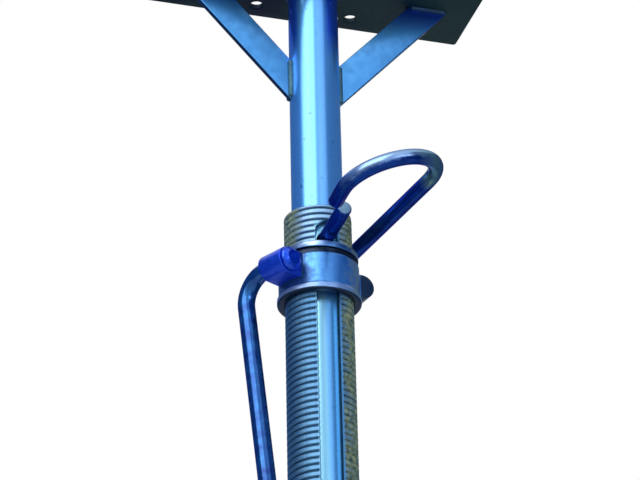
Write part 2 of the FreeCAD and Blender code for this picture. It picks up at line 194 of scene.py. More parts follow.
def modify(piece, kind, **settings):
    """Add a modifier to a piece in object mode, set it and apply it."""
    only(piece)
    modifier = piece.modifiers.new(kind.title(), kind)
    for setting, amount in settings.items():
        setattr(modifier, setting, amount)
    bpy.ops.object.modifier_apply(modifier=modifier.name)


def combine(piece, other, operation):
    """Cut another solid from a piece, or join it on, and throw the other one away."""
    modify(piece, "BOOLEAN", object=other, operation=operation, solver="MANIFOLD")
    bpy.data.objects.remove(other)


def finish_piece(piece, body, slot, *nodes):
    """Clean and shade a piece, hang it on its body and hide the CAD nodes it stands for."""
    edit_all(piece)
    bpy.ops.mesh.remove_doubles(threshold=SAME_PLACE)
    bpy.ops.mesh.dissolve_degenerate(threshold=SAME_PLACE)
    stop_editing()
    bpy.ops.object.shade_smooth_by_angle(angle=SMOOTH_BELOW)
    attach(piece, body)
    if nodes:
        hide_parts(*nodes)
    size = [round(side / MM, 1) for side in piece.dimensions]
    print(piece.name, "on", body, "with", len(piece.data.polygons), "faces, size in mm", size)


print("edges flatter than", round(degrees(SMOOTH_BELOW)), "degrees are shaded smooth")

# %% [markdown]
# ## Base plate and head plate
# Both are flame-cut flats with drilled holes. A cube at the plate's size gives the flat, and a bevel on
# its four upright edges the corners. A narrow bevel then breaks the upper and lower edges, because a
# cut edge that has been painted is never sharp, and it is that edge that catches the light. It comes
# before the holes, since short edges left by a cut would hold a later bevel back. So each drill widens
# at its mouths.

# %% Plates
HOLE_SIDES = 40
CORNER_STEPS = 5
EDGE_EASE = 0.9 * MM
EASE_STEPS = 3


def add_drill(at, radius, depth, turn=(0, 0, 0)):
    """A cylinder to cut a hole of some depth, which widens at both mouths and goes on past them."""
    straight = depth - 2 * EDGE_EASE
    past = 2 * EDGE_EASE
    wider = 1 + past / radius
    drill = start_piece("drill", bpy.ops.mesh.primitive_cylinder_add, vertices=HOLE_SIDES,
                        radius=radius, depth=straight)
    for side in (-1, 1):
        pick_faces(drill, lambda centre: side * centre.z > straight / 4)
        bpy.ops.mesh.extrude_region_move(TRANSFORM_OT_translate={"value": (0, 0, side * past)})
        bpy.ops.transform.resize(value=(wider, wider, 1), center_override=(0, 0, 0))
    stop_editing()
    place(drill, at, turn)
    return drill


def make_plate(node, corner_radius, hole_radius, hole_x, hole_y):
    """A plate of a CAD node's size with round corners, eased edges and four holes."""
    lowest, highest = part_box(node)
    size = [top - bottom for bottom, top in zip(lowest, highest)]
    middle = [(top + bottom) / 2 for bottom, top in zip(lowest, highest)]
    plate = start_piece(f"{node}_eased", bpy.ops.mesh.primitive_cube_add, size=1,
                        location=middle, scale=size)
    pick_edges(plate, lambda start, end: abs(start.z - end.z) > size[Z] / 2)
    bpy.ops.mesh.bevel(offset=corner_radius, segments=CORNER_STEPS)
    pick_edges(plate, lambda start, end: abs(start.z - end.z) < size[Z] / 2)
    bpy.ops.mesh.bevel(offset=EDGE_EASE, segments=EASE_STEPS)
    stop_editing()
    for x in (-hole_x, hole_x):
        for y in (-hole_y, hole_y):
            drill = add_drill((x, y, middle[Z]), hole_radius, size[Z])
            combine(plate, drill, "DIFFERENCE")
    return plate


base_plate = make_plate("base_plate", corner_radius=6 * MM, hole_radius=6.5 * MM,
                        hole_x=55 * MM, hole_y=55 * MM)
finish_piece(base_plate, "outer", "plate_paint", "base_plate")
head_plate = make_plate("head_plate", corner_radius=3 * MM, hole_radius=6 * MM,
                        hole_x=48 * MM, hole_y=32 * MM)
finish_piece(head_plate, "inner", "plate_paint", "head_plate")

# %% [markdown]
# ## Outer tube with a rolled thread
# The upper end carries a coarse thread, and a slot runs through it front and back for the pin.
# A bump in the material could fake the thread, but its outline would stay straight. Here one ridge and
# groove is drawn as a line, the Screw modifier winds it up the tube, and the ends are cut flat.
# Then it is machined in the order of the real tube: joined to the plain tube, bored, and slotted.

# %% Thread
CREST_RADIUS = 31.3 * MM
ROOT_RADIUS = 30.1 * MM
THREAD_PITCH = 6 * MM
ROOT_END = 0.12 * THREAD_PITCH
CREST_START = 0.32 * THREAD_PITCH
CREST_END = 0.80 * THREAD_PITCH
THREAD_LENGTH = 380 * MM
THREAD_FOOT = RIM - THREAD_LENGTH
THREAD_STEPS = 72
SPARE_TURNS = 3
UP = (0, 0, 1)


def draw_line(name, points):
    """Draw a chain of edges by extruding one point from place to place."""
    line = start_piece(name, bpy.ops.mesh.primitive_plane_add, size=1)
    bpy.ops.mesh.merge(type="CENTER")
    bpy.ops.transform.translate(value=points[0])
    for start, end in zip(points, points[1:]):
        step = Vector(end) - Vector(start)
        bpy.ops.mesh.extrude_region_move(TRANSFORM_OT_translate={"value": step})
    stop_editing()
    return line


def face_outwards(piece):
    """Merge the points that lie on each other and turn all faces of a closed mesh outwards."""
    edit_all(piece)
    bpy.ops.mesh.remove_doubles(threshold=SAME_PLACE)
    bpy.ops.mesh.normals_make_consistent(inside=False)
    stop_editing()


def cut_off(piece, at, way, keep_beyond):
    """Cut a closed mesh by a plane across some way, throw one side away and close the cut."""
    edit_all(piece)
    bpy.ops.mesh.bisect(plane_co=at, plane_no=way, use_fill=True,
                        clear_inner=keep_beyond, clear_outer=not keep_beyond)
    stop_editing()


thread_start = THREAD_FOOT - THREAD_PITCH
ridge = (
    (ROOT_RADIUS, 0), (ROOT_RADIUS, ROOT_END), (CREST_RADIUS, CREST_START), (CREST_RADIUS, CREST_END),
    (ROOT_RADIUS, THREAD_PITCH))
ridge_points = [(radius, 0, thread_start + rise) for radius, rise in ridge]
outer_tube = draw_line("outer_tube_threaded", ridge_points)
turns = int(THREAD_LENGTH / THREAD_PITCH) + SPARE_TURNS
modify(outer_tube, "SCREW", axis="Z", angle=2 * pi, screw_offset=THREAD_PITCH, iterations=turns,
       steps=THREAD_STEPS, render_steps=THREAD_STEPS, use_merge_vertices=True)
face_outwards(outer_tube)
cut_off(outer_tube, (0, 0, RIM), UP, keep_beyond=False)
cut_off(outer_tube, (0, 0, THREAD_FOOT), UP, keep_beyond=True)
face_outwards(outer_tube)
print("thread of", turns, "turns with", len(outer_tube.data.polygons), "faces")

# %% Plain tube, bore and slot
ROUND_SIDES = 96
OUTER_RADIUS = 30.15 * MM
OUTER_BORE = 26.15 * MM
RIM_CHAMFER = 1 * MM
SLOT_HALF_WIDTH = 11.5 * MM
SLOT_LENGTH = 290 * MM
SLOT_TOP = RIM - 16 * MM
SLOT_FOOT = SLOT_TOP - SLOT_LENGTH
OVERLAP = 1 * MM


def add_round_bar(name, radius, bottom, top):
    """A solid round bar along Z."""
    bar = start_piece(name, bpy.ops.mesh.primitive_cylinder_add, vertices=ROUND_SIDES, radius=radius,
                      depth=top - bottom, location=(0, 0, (top + bottom) / 2))
    stop_editing()
    return bar


# A wide cone that only reaches the rim gives it its chamfer.
cone_height = THREAD_LENGTH + OVERLAP
rim_radius = CREST_RADIUS - RIM_CHAMFER
chamfer_cone = start_piece("chamfer_cone", bpy.ops.mesh.primitive_cone_add, vertices=ROUND_SIDES,
                           radius1=rim_radius + cone_height, radius2=rim_radius, depth=cone_height,
                           location=(0, 0, RIM - cone_height / 2))
stop_editing()
combine(outer_tube, chamfer_cone, "INTERSECT")
plain_length = add_round_bar("plain_length", OUTER_RADIUS, BASE_TOP, THREAD_FOOT + OVERLAP)
combine(outer_tube, plain_length, "UNION")
bore = add_round_bar("bore", OUTER_BORE, BASE_TOP - OVERLAP, RIM + OVERLAP)
combine(outer_tube, bore, "DIFFERENCE")

# The slot is a cylinder lying front to back, whose upper half is pulled up.
slot_low_centre = SLOT_FOOT + SLOT_HALF_WIDTH
past_both_walls = 4 * OUTER_RADIUS
slot_cutter = start_piece("slot_cutter", bpy.ops.mesh.primitive_cylinder_add, vertices=HOLE_SIDES,
                          radius=SLOT_HALF_WIDTH, depth=past_both_walls,
                          location=(0, 0, slot_low_centre), rotation=(pi / 2, pi / HOLE_SIDES, 0))
pick_points(slot_cutter, lambda at: at.z > slot_low_centre)
bpy.ops.transform.translate(value=(0, 0, SLOT_LENGTH - 2 * SLOT_HALF_WIDTH))
stop_editing()
combine(outer_tube, slot_cutter, "DIFFERENCE")
finish_piece(outer_tube, "outer", "tube_paint", "outer_tube")

# %% [markdown]
# ## Inner tube
# A plain drawn tube with a row of cross holes for the pin. It could be a single cylinder with painted
# holes, but the slot shows its wall. So it is turned from two bars, one cut from the other, and drilled
# right through, which opens the far wall too.

# %% Inner tube
INNER_RADIUS = 24.15 * MM
INNER_BORE = 20.15 * MM
INNER_FOOT = low("inner_tube", Z)
PIN_HOLE_RADIUS = 8.5 * MM
PIN_HOLE_PITCH = 250 * MM
PIN_HOLE_COUNT = 6
PIN_LEVEL = RIM - 32 * MM
PIN_RADIUS = 7 * MM
CLEARANCE = 0.3 * MM
FRONT_TO_BACK = (pi / 2, 0, 0)

inner_tube = add_round_bar("inner_tube_drilled", INNER_RADIUS, INNER_FOOT, HEAD_UNDER)
tube_bore = add_round_bar("tube_bore", INNER_BORE, INNER_FOOT - OVERLAP, HEAD_UNDER + OVERLAP)
combine(inner_tube, tube_bore, "DIFFERENCE")
first_hole = PIN_LEVEL - (PIN_HOLE_RADIUS - PIN_RADIUS - CLEARANCE)
right_through = 4 * INNER_RADIUS
for number in range(PIN_HOLE_COUNT):
    hole_level = first_hole - number * PIN_HOLE_PITCH
    drill = add_drill((0, 0, hole_level), PIN_HOLE_RADIUS, right_through, FRONT_TO_BACK)
    combine(inner_tube, drill, "DIFFERENCE")
finish_piece(inner_tube, "inner", "tube_paint", "inner_tube")

# %% [markdown]
# ## Braces
# Two flat bars stiffen the head. Each is a long cube laid along the slope and cut twice with a plane,
# once upright where it meets the tube and once level under the plate, which is how a saw leaves it.
# The second bar is a mirrored copy, and mirroring turns a mesh inside out, so its normals are
# recalculated.

# %% Braces
BRACE_WIDTH = 30 * MM
BRACE_THICKNESS = 6 * MM
BRACE_DROP = 126 * MM
BRACE_REACH = 138 * MM
EASE_ABOVE = radians(35)


def ease_edges(piece, width):
    """Round all edges of a piece that turn by more than a small angle."""
    modify(piece, "BEVEL", width=width, segments=EASE_STEPS,
           limit_method="ANGLE", angle_limit=EASE_ABOVE)


def mirror_copy(piece, name):
    """A copy of a piece for the other side of the tube."""
    only(piece)
    bpy.ops.object.duplicate()
    copy = bpy.context.object
    copy.name = name
    copy.data.name = name
    copy.scale.x = -1
    bpy.ops.object.transform_apply(location=True, rotation=True, scale=True)
    face_outwards(copy)
    return copy


brace_run = BRACE_REACH - INNER_RADIUS
brace_slope = atan2(BRACE_DROP, brace_run)
lower_edge = Vector((INNER_RADIUS + brace_run / 2, 0, HEAD_UNDER - BRACE_DROP / 2))
inwards = Vector((-sin(brace_slope), 0, cos(brace_slope)))
brace_middle = lower_edge + inwards * BRACE_WIDTH / 2
rough_length = 2 * hypot(brace_run, BRACE_DROP)
brace_right = start_piece("brace_right_bar", bpy.ops.mesh.primitive_cube_add, size=1,
                          location=brace_middle, rotation=(0, -brace_slope, 0),
                          scale=(rough_length, BRACE_THICKNESS, BRACE_WIDTH))
stop_editing()
cut_off(brace_right, (INNER_RADIUS, 0, 0), (1, 0, 0), keep_beyond=True)
cut_off(brace_right, (0, 0, HEAD_UNDER), UP, keep_beyond=False)
ease_edges(brace_right, EDGE_EASE)
brace_left = mirror_copy(brace_right, "brace_left_bar")
finish_piece(brace_right, "inner", "tube_paint", "brace_right")
finish_piece(brace_left, "inner", "tube_paint", "brace_left")

# %% [markdown]
# ## Bent rods
# The pin and the handle are round bar, bent cold. A curve with a round bevel would do, but a mesh that
# is extruded along the straights and spun round the bends has even rings and needs no conversion. Each
# rod is bent flat on the bench, in the XY plane, and then turned and moved to its place as a whole.

# %% Helpers for bending a rod
ROD_SIDES = 48
BEND_STEP = radians(5)


def start_rod(name, radius, at):
    """An open ring across the X axis, where a rod starts."""
    return start_piece(name, bpy.ops.mesh.primitive_circle_add, vertices=ROD_SIDES, radius=radius,
                       location=at, rotation=(0, pi / 2, 0))


def run(step):
    """Extrude the end ring straight on."""
    bpy.ops.mesh.extrude_region_move(TRANSFORM_OT_translate={"value": step})


def bend(centre, angle):
    """Spin the end ring round a centre in the XY plane; spin itself counts clockwise as positive."""
    steps = max(1, round(abs(angle) / BEND_STEP))
    bpy.ops.mesh.spin(steps=steps, angle=-angle, center=centre, axis=UP)


def widen(step, factor, about):
    """Extrude the end ring and scale it about its own centre."""
    run(step)
    bpy.ops.transform.resize(value=(factor, factor, factor), center_override=about)


def close_rod(rod, end_ease):
    """Cap both open ends, turn the faces outwards and round the end edges."""
    bpy.ops.mesh.select_all(action="DESELECT")
    bpy.ops.mesh.select_mode(type="EDGE")
    bpy.ops.mesh.select_non_manifold()
    bpy.ops.mesh.fill_holes(sides=0)
    stop_editing()
    face_outwards(rod)
    ease_edges(rod, end_ease)


print("a right angle is bent in", round(pi / 2 / BEND_STEP), "steps")

# %% [markdown]
# ## Locking pin
# One rod makes the whole pin: a bar through the tubes, a tight bend behind them, a long arm back to the
# front and a wide loop for the hand, which ends beside the bar. Every bend starts where the last
# straight ends, so the centres follow from the straights and the radii.

# %% Locking pin
PIN_FRONT_REACH = 84 * MM
PIN_BACK_CENTRE = 42 * MM
PIN_ARM_OFFSET = 44.3 * MM
PIN_ARM_ANGLE = radians(13.6)
PIN_LOOP_RADIUS = 43.7 * MM
PIN_RETURN = -13.6 * MM
PIN_TIP_REACH = 98 * MM
PIN_END_EASE = 2.2 * MM
PIN_TILT = radians(17)
PIN_PLACE = (0, 0, PIN_LEVEL)
PIN_TURN = (PIN_TILT, 0, -pi / 2)

along = Vector((cos(PIN_ARM_ANGLE), sin(PIN_ARM_ANGLE), 0))
outward = Vector((-along.y, along.x, 0))
back_radius = (PIN_ARM_OFFSET - PIN_BACK_CENTRE * along.y) / (1 + along.x)
back_centre = Vector((-PIN_BACK_CENTRE, back_radius, 0))
loop_y = PIN_RETURN + PIN_LOOP_RADIUS
loop_x = (along.x * loop_y + PIN_LOOP_RADIUS - PIN_ARM_OFFSET) / along.y
loop_centre = Vector((loop_x, loop_y, 0))
arm_back = back_centre + outward * back_radius
arm_front = loop_centre + outward * PIN_LOOP_RADIUS

pin = start_rod("locking_pin_rod", PIN_RADIUS, (PIN_FRONT_REACH, 0, 0))
run((-PIN_FRONT_REACH - PIN_BACK_CENTRE, 0, 0))
bend(back_centre, PIN_ARM_ANGLE - pi)
run(arm_front - arm_back)
bend(loop_centre, -pi - PIN_ARM_ANGLE)
run((PIN_TIP_REACH - loop_x, 0, 0))
close_rod(pin, PIN_END_EASE)
place(pin, PIN_PLACE, PIN_TURN)
finish_piece(pin, "pin", "rod_paint", "locking_pin")

# %% [markdown]
# ## Collar nut
# A cast ring with turned faces: a flange that carries the pin, a groove, the barrel and a lip at the
# foot. The outline is drawn once and spun about the axis. Two lugs stand out from it, one bored for the
# handle, and both are a cylinder whose inner half is drawn back into the ring.

# %% Ring of the nut
NUT_TOP = high("collar_nut", Z)
NUT_HEIGHT = 50 * MM
NUT_BORE = CREST_RADIUS + CLEARANCE
NUT_BARREL = 37 * MM
NUT_LIP = 38.5 * MM
NUT_LIP_HEIGHT = 6 * MM
NUT_FLANGE = 36.5 * MM
NUT_FLANGE_HEIGHT = 6.5 * MM
NUT_GROOVE = 33.5 * MM
NUT_GROOVE_HEIGHT = 5.5 * MM
NUT_CHAMFER = 1.2 * MM
NUT_EASE = 0.7 * MM

nut_foot = NUT_TOP - NUT_HEIGHT
flange_foot = NUT_TOP - NUT_FLANGE_HEIGHT
groove_foot = flange_foot - NUT_GROOVE_HEIGHT
lip_top = nut_foot + NUT_LIP_HEIGHT
nut_outline = (
    (NUT_BORE, NUT_TOP), (NUT_FLANGE - NUT_CHAMFER, NUT_TOP), (NUT_FLANGE, NUT_TOP - NUT_CHAMFER),
    (NUT_FLANGE, flange_foot), (NUT_GROOVE, flange_foot), (NUT_GROOVE, groove_foot),
    (NUT_BARREL - NUT_CHAMFER, groove_foot), (NUT_BARREL, groove_foot - NUT_CHAMFER),
    (NUT_BARREL, lip_top + NUT_LIP - NUT_BARREL), (NUT_LIP, lip_top), (NUT_LIP, nut_foot + NUT_CHAMFER),
    (NUT_LIP - NUT_CHAMFER, nut_foot), (NUT_BORE, nut_foot), (NUT_BORE, NUT_TOP))
nut = draw_line("collar_nut_cast", [(radius, 0, level) for radius, level in nut_outline])
edit_all(nut)
bpy.ops.mesh.spin(steps=ROUND_SIDES, angle=2 * pi, center=(0, 0, 0), axis=UP)
stop_editing()
face_outwards(nut)
ease_edges(nut, NUT_EASE)
print("ring of the nut with", len(nut.data.polygons), "faces")

# %% Lugs of the nut
NUT_TURN = radians(208.5)
LUG_LEVEL = NUT_TOP - 25 * MM
LUG_BORE_REACH = 51 * MM
LUG_NOSE = 12.5 * MM
LUG_WIDTH = 28 * MM
STRIKE_TURN = radians(163)
STRIKE_REACH = 40 * MM
STRIKE_NOSE = 11.5 * MM
STRIKE_WIDTH = 22 * MM
HANDLE_RADIUS = 8 * MM


def add_lug(reach, nose, width, turn):
    """A lug with a half-round nose, reaching out along X before it is turned about the nut's axis."""
    lug = start_piece("lug", bpy.ops.mesh.primitive_cylinder_add, vertices=HOLE_SIDES, radius=nose,
                      depth=width, location=(reach, 0, LUG_LEVEL), rotation=FRONT_TO_BACK)
    root = (NUT_BORE + NUT_BARREL) / 2
    pick_points(lug, lambda at: at.x < reach - nose / HOLE_SIDES)
    bpy.ops.transform.resize(value=(0, 1, 1), center_override=(root, 0, LUG_LEVEL))

    def stands_out(start, end):
        return abs(start.y - end.y) < width / 2 and max(start.x, end.x) > NUT_BARREL

    pick_edges(lug, stands_out)
    bpy.ops.mesh.bevel(offset=NUT_EASE, segments=EASE_STEPS)
    stop_editing()
    place(lug, (0, 0, 0), (0, 0, turn))
    return lug


combine(nut, add_lug(LUG_BORE_REACH, LUG_NOSE, LUG_WIDTH, NUT_TURN), "UNION")
combine(nut, add_lug(STRIKE_REACH, STRIKE_NOSE, STRIKE_WIDTH, NUT_TURN + STRIKE_TURN), "UNION")
hinge = Vector((LUG_BORE_REACH * cos(NUT_TURN), LUG_BORE_REACH * sin(NUT_TURN), LUG_LEVEL))
hinge_drill = add_drill(hinge, HANDLE_RADIUS + CLEARANCE, LUG_WIDTH, (pi / 2, 0, NUT_TURN))
combine(nut, hinge_drill, "DIFFERENCE")
finish_piece(nut, "nut", "nut_paint", "collar_nut")

# %% [markdown]
# ## Handle
# A bent rod through the lug, headed over like a rivet on one side and hanging as a lever on the other.
# The head comes from widening the first rings of the rod, so it is one piece with it.

# %% Handle
HANDLE_SIDE_REACH = 46 * MM
HANDLE_LEAN = radians(8)
HANDLE_LENGTH = 250 * MM
HANDLE_BEND = 25 * MM
HANDLE_END_EASE = 2 * MM
HANDLE_HEAD = 11.5 * MM
HANDLE_CROWN = 7 * MM
HANDLE_HEAD_HEIGHT = 6 * MM

lug_face = LUG_WIDTH / 2 + CLEARANCE
head_top = lug_face + HANDLE_HEAD_HEIGHT
shoulder = lug_face + HANDLE_HEAD_HEIGHT / 2
trim = HANDLE_BEND * tan((pi / 2 + HANDLE_LEAN) / 2)
down_lever = Vector((sin(HANDLE_LEAN), -cos(HANDLE_LEAN), 0))
bend_start = -HANDLE_SIDE_REACH + trim
handle = start_rod("nut_handle_rod", HANDLE_CROWN, (head_top, 0, 0))
widen((shoulder - head_top, 0, 0), HANDLE_HEAD / HANDLE_CROWN, (shoulder, 0, 0))
run((lug_face - shoulder, 0, 0))
widen((0, 0, 0), HANDLE_RADIUS / HANDLE_HEAD, (lug_face, 0, 0))
run((bend_start - lug_face, 0, 0))
bend((bend_start, -HANDLE_BEND, 0), pi / 2 + HANDLE_LEAN)
run(down_lever * (HANDLE_LENGTH - trim))
close_rod(handle, HANDLE_END_EASE)
place(handle, hinge, (pi / 2, 0, pi / 2 + NUT_TURN))
finish_piece(handle, "handle", "rod_paint", "nut_handle")

# %% [markdown]
# ## Welds
# A welder laid a bead along each corner where a plate or a brace meets a tube, and every drop of it
# left a ripple. A bump in the paint could hint at that, but a real bead fills the corner and breaks its
# line. So a torus gives the ring beads and a straight rod the seams, with a ring of points for every
# half drop, and every second ring is drawn in a little.

# %% Ring welds
DROP_LENGTH = 3 * MM
RIPPLE_DEPTH = 0.35 * MM
WELD_SIDES = 16
WELD_INSET = 0.5 * MM
FOOT_WELD = 3.8 * MM
HEAD_WELD = 3.2 * MM


def add_ring_weld(name, tube_radius, level, thickness, body):
    """A rippled bead round a tube."""
    radius = tube_radius + WELD_INSET
    drops = round(2 * pi * radius / DROP_LENGTH)
    half_drop = pi / drops
    weld = start_piece(name, bpy.ops.mesh.primitive_torus_add, location=(0, 0, level),
                       major_radius=radius, minor_radius=thickness,
                       major_segments=2 * drops, minor_segments=WELD_SIDES)
    pick_points(weld, lambda at: round(atan2(at.y, at.x) / half_drop) % 2 == 1)
    bpy.ops.transform.shrink_fatten(value=-RIPPLE_DEPTH)
    stop_editing()
    finish_piece(weld, body, "tube_paint")
    return weld


foot_weld = add_ring_weld("foot_weld", OUTER_RADIUS, BASE_TOP + WELD_INSET, FOOT_WELD, "outer")
head_weld = add_ring_weld("head_weld", INNER_RADIUS, HEAD_UNDER - WELD_INSET, HEAD_WELD, "inner")

# %% Seam welds on the braces
SEAM_THICKNESS = 2.6 * MM
SEAM_END_EASE = 1.6 * MM
SEAM_MARGIN = 2 * MM


def add_seam_weld(start, way):
    """A rippled bead that starts at a place and runs one way, in the XZ plane."""
    drops = round(way.length / DROP_LENGTH)
    half_drop = way.length / drops / 2
    weld = start_rod("seam_weld", SEAM_THICKNESS, (0, 0, 0))
    for _ in range(2 * drops):
        run((half_drop, 0, 0))
    pick_points(weld, lambda at: round(at.x / half_drop) % 2 == 1)
    bpy.ops.transform.shrink_fatten(value=-RIPPLE_DEPTH)
    close_rod(weld, SEAM_END_EASE)
    place(weld, start, (0, -atan2(way.z, way.x), 0))
    return weld


def join_pieces(pieces, name):
    """Make several meshes one piece."""
    only(pieces[0])
    for piece in pieces[1:]:
        piece.select_set(True)
    bpy.ops.object.join()
    pieces[0].name = name
    pieces[0].data.name = name
    return pieces[0]


tube_seam = Vector((0, 0, BRACE_WIDTH / cos(brace_slope) - 2 * SEAM_MARGIN))
plate_seam = Vector((BRACE_WIDTH / sin(brace_slope) - 2 * SEAM_MARGIN, 0, 0))
beads = []
for side in (-1, 1):
    face = side * (BRACE_THICKNESS / 2 + WELD_INSET)
    tube_corner = Vector((INNER_RADIUS, face, HEAD_UNDER - BRACE_DROP + SEAM_MARGIN))
    plate_corner = Vector((BRACE_REACH - SEAM_MARGIN, face, HEAD_UNDER - WELD_INSET))
    beads.append(add_seam_weld(tube_corner, tube_seam))
    beads.append(add_seam_weld(plate_corner - plate_seam, plate_seam))
right_welds = join_pieces(beads, "brace_right_welds")
left_welds = mirror_copy(right_welds, "brace_left_welds")
finish_piece(right_welds, "inner", "tube_paint")
finish_piece(left_welds, "inner", "tube_paint")

# %% [markdown]
# ## Paint and steel
# The whole prop is dipped in a blue metallic paint, and each part has aged in its own way. A single
# colour would look like plastic, so every finish is built from noise on Object coordinates: streaks
# down a tube, speckle on a casting, grease in a thread. A mark that belongs to one place gets a mask: a
# Map Range node that turns a height, a distance or a direction into a share of colour. In the values
# below, a mask is two ranges, what it goes by and the share that this gives.

# %% Helpers for noise
NOISE_SPAN = (0.3, 0.7)
FULL = (0, 1)


def object_place(tree):
    """Where a point lies on the prop, in metres."""
    return tree.nodes.new("ShaderNodeTexCoord").outputs["Object"]


def add_noise(tree, scale=1, stretch=(1, 1, 1), detail=3):
    """Noise that follows the object, drawn out along the axes with a small stretch."""
    mapping = tree.nodes.new("ShaderNodeMapping")
    mapping.inputs["Scale"].default_value = stretch
    noise = tree.nodes.new("ShaderNodeTexNoise")
    noise.inputs["Scale"].default_value = scale
    noise.inputs["Detail"].default_value = detail
    tree.links.new(object_place(tree), mapping.inputs["Vector"])
    tree.links.new(mapping.outputs["Vector"], noise.inputs["Vector"])
    return noise.outputs["Fac"]


def remap(tree, source, given, wanted=FULL):
    """Map a value from one range to another, with nothing outside the second."""
    node = tree.nodes.new("ShaderNodeMapRange")
    node.inputs["From Min"].default_value, node.inputs["From Max"].default_value = given
    node.inputs["To Min"].default_value, node.inputs["To Max"].default_value = wanted
    tree.links.new(source, node.inputs["Value"])
    return node.outputs["Result"]


def add_mottle(tree, **settings):
    """Noise that is spread over the whole range from 0 to 1."""
    return remap(tree, add_noise(tree, **settings), NOISE_SPAN)


print("noise from", NOISE_SPAN[0], "to", NOISE_SPAN[1], "is spread over the whole range")

# %% Helpers for places on the prop
RIGHT_SIDE = 0
WEATHER_SIDE = radians(-32)


def compute(tree, operation, first, second=0):
    """One step of arithmetic on outputs or numbers."""
    node = tree.nodes.new("ShaderNodeMath")
    node.operation = operation
    for socket, term in zip(node.inputs, (first, second)):
        if isinstance(term, (int, float)):
            socket.default_value = term
        else:
            tree.links.new(term, socket)
    return node.outputs["Value"]


def axes_of(tree):
    """The X, Y and Z of a point on the prop as three outputs."""
    parts = tree.nodes.new("ShaderNodeSeparateXYZ")
    tree.links.new(object_place(tree), parts.inputs["Vector"])
    return parts.outputs


def reach_of(tree, x, y):
    """Distance of a point from an axis, from its two distances along X and Y."""
    squares = compute(tree, "ADD", compute(tree, "MULTIPLY", x, x), compute(tree, "MULTIPLY", y, y))
    return compute(tree, "SQRT", squares)


def turn_axes(tree, first, second, angle):
    """How far a point lies along a way that is turned from the first of two axes to the second."""
    return compute(tree, "ADD", compute(tree, "MULTIPLY", first, cos(angle)),
                   compute(tree, "MULTIPLY", second, sin(angle)))


def facing_of(tree, side):
    """How squarely a point of the prop faces one side, from -1 to 1."""
    x, y, _ = axes_of(tree)
    return compute(tree, "DIVIDE", turn_axes(tree, x, y, side), reach_of(tree, x, y))


print("the weather side lies", round(degrees(WEATHER_SIDE)), "degrees from the right")

# %% Helpers for finishes
PAINT_WRINKLES = 0.2 * MM


def new_finish(name, constants):
    """A material whose constant values are set on the shader's own sockets."""
    finish = bpy.data.materials.new(name)
    finish.use_nodes = True
    for socket, amount in constants.items():
        finish.node_tree.nodes["Principled BSDF"].inputs[socket].default_value = amount
    return finish


def blend_colours(tree, share, first, second):
    """Mix two colours, each a triple or an output, by a share."""
    node = tree.nodes.new("ShaderNodeMix")
    node.data_type = "RGBA"
    tree.links.new(share, node.inputs["Factor"])
    colour_sockets = [socket for socket in node.inputs if socket.type == "RGBA"]
    for socket, colour in zip(colour_sockets, (first, second)):
        if isinstance(colour, tuple):
            socket.default_value = (*colour, 1)
        else:
            tree.links.new(colour, socket)
    return next(socket for socket in node.outputs if socket.type == "RGBA")


def cover(tree, paint, colour, source, mask):
    """Lay a colour over the paint by a mask on some value."""
    return blend_colours(tree, remap(tree, source, *mask), paint, colour)


def feed(tree, socket, source):
    """Link an output to a socket of the material's shader."""
    tree.links.new(source, tree.nodes["Principled BSDF"].inputs[socket])


def add_bump(tree, height, strength, depth=PAINT_WRINKLES):
    """Let a height wrinkle the surface."""
    bump = tree.nodes.new("ShaderNodeBump")
    bump.inputs["Strength"].default_value = strength
    bump.inputs["Distance"].default_value = depth
    tree.links.new(height, bump.inputs["Height"])
    feed(tree, "Normal", bump.outputs["Normal"])


def end_finish(finish, colour, pattern, roughness, strength, depth=PAINT_WRINKLES, **grain):
    """Link a colour, a roughness that follows a pattern, and a bump of fine noise."""
    tree = finish.node_tree
    feed(tree, "Base Color", colour)
    feed(tree, "Roughness", remap(tree, pattern, FULL, roughness))
    add_bump(tree, add_noise(tree, **grain), strength, depth)
    return finish


def paint_pieces(finish, *pieces):
    """Give pieces one finish."""
    for piece in pieces:
        piece.data.materials.clear()
        piece.data.materials.append(finish)
    print(finish.name, "on", [piece.name for piece in pieces])


print("paint wrinkles", round(PAINT_WRINKLES / MM, 2), "mm deep unless a finish says otherwise")

# %% [markdown]
# ### Tube paint
# The inner tube is bright and smooth. Streaks run down it from rain and handling, and small scuffs show
# the dark coat below. The length that slides in the outer tube is wiped by it again and again, so there
# the paint is a little paler and has lost its scuffs, and a stripe of it that faces the light carries a
# painted highlight. A mask along Z keeps the two lengths apart. Close under the plate the sides are
# darkened to a deep blue as painted shade and painted reflection of the braces and the plate, and only
# the side that faces the light keeps the paint as below.

# %% Tube paint
PAINT_DEEP = (0.09, 0.38, 0.86)
PAINT_LIGHT = (0.14, 0.46, 0.93)
UNDERCOAT_AND_SHADE = (0.02, 0.07, 0.22)
RUBBED = (0.13, 0.46, 0.84)
# Painted highlight: a pale stripe on the length seen in the slot, where it faces the light.
PAINTED_HIGHLIGHT = (0.26, 0.60, 0.72)
# Painted shade: the tube's sides close under the plate are a deep blue, standing in for shade and the
# dark reflections of the braces and the plate.
TUBE_TOP_SHADE = (0.010, 0.10, 0.95)
HIGHLIGHT_SIDE = radians(-111)
STREAKS = (110, 110, 2.5)
SCUFF_SPAN = (0.66, 0.72)
SCUFFED = (SCUFF_SPAN, (0, 0.6))
WIPED = ((RIM - 12 * MM, RIM - 4 * MM), (0.8, 0))
HIGHLIGHT_STRIPE = ((0.93, 0.975), FULL)
SHADED_SIDES_FACING = ((0.74, 0.90), (0.92, 0))
SHADE_UNDER_HEAD = ((HEAD_UNDER - 88 * MM, HEAD_UNDER - 55 * MM), FULL)
TUBE_ROUGHNESS = (0.30, 0.22)


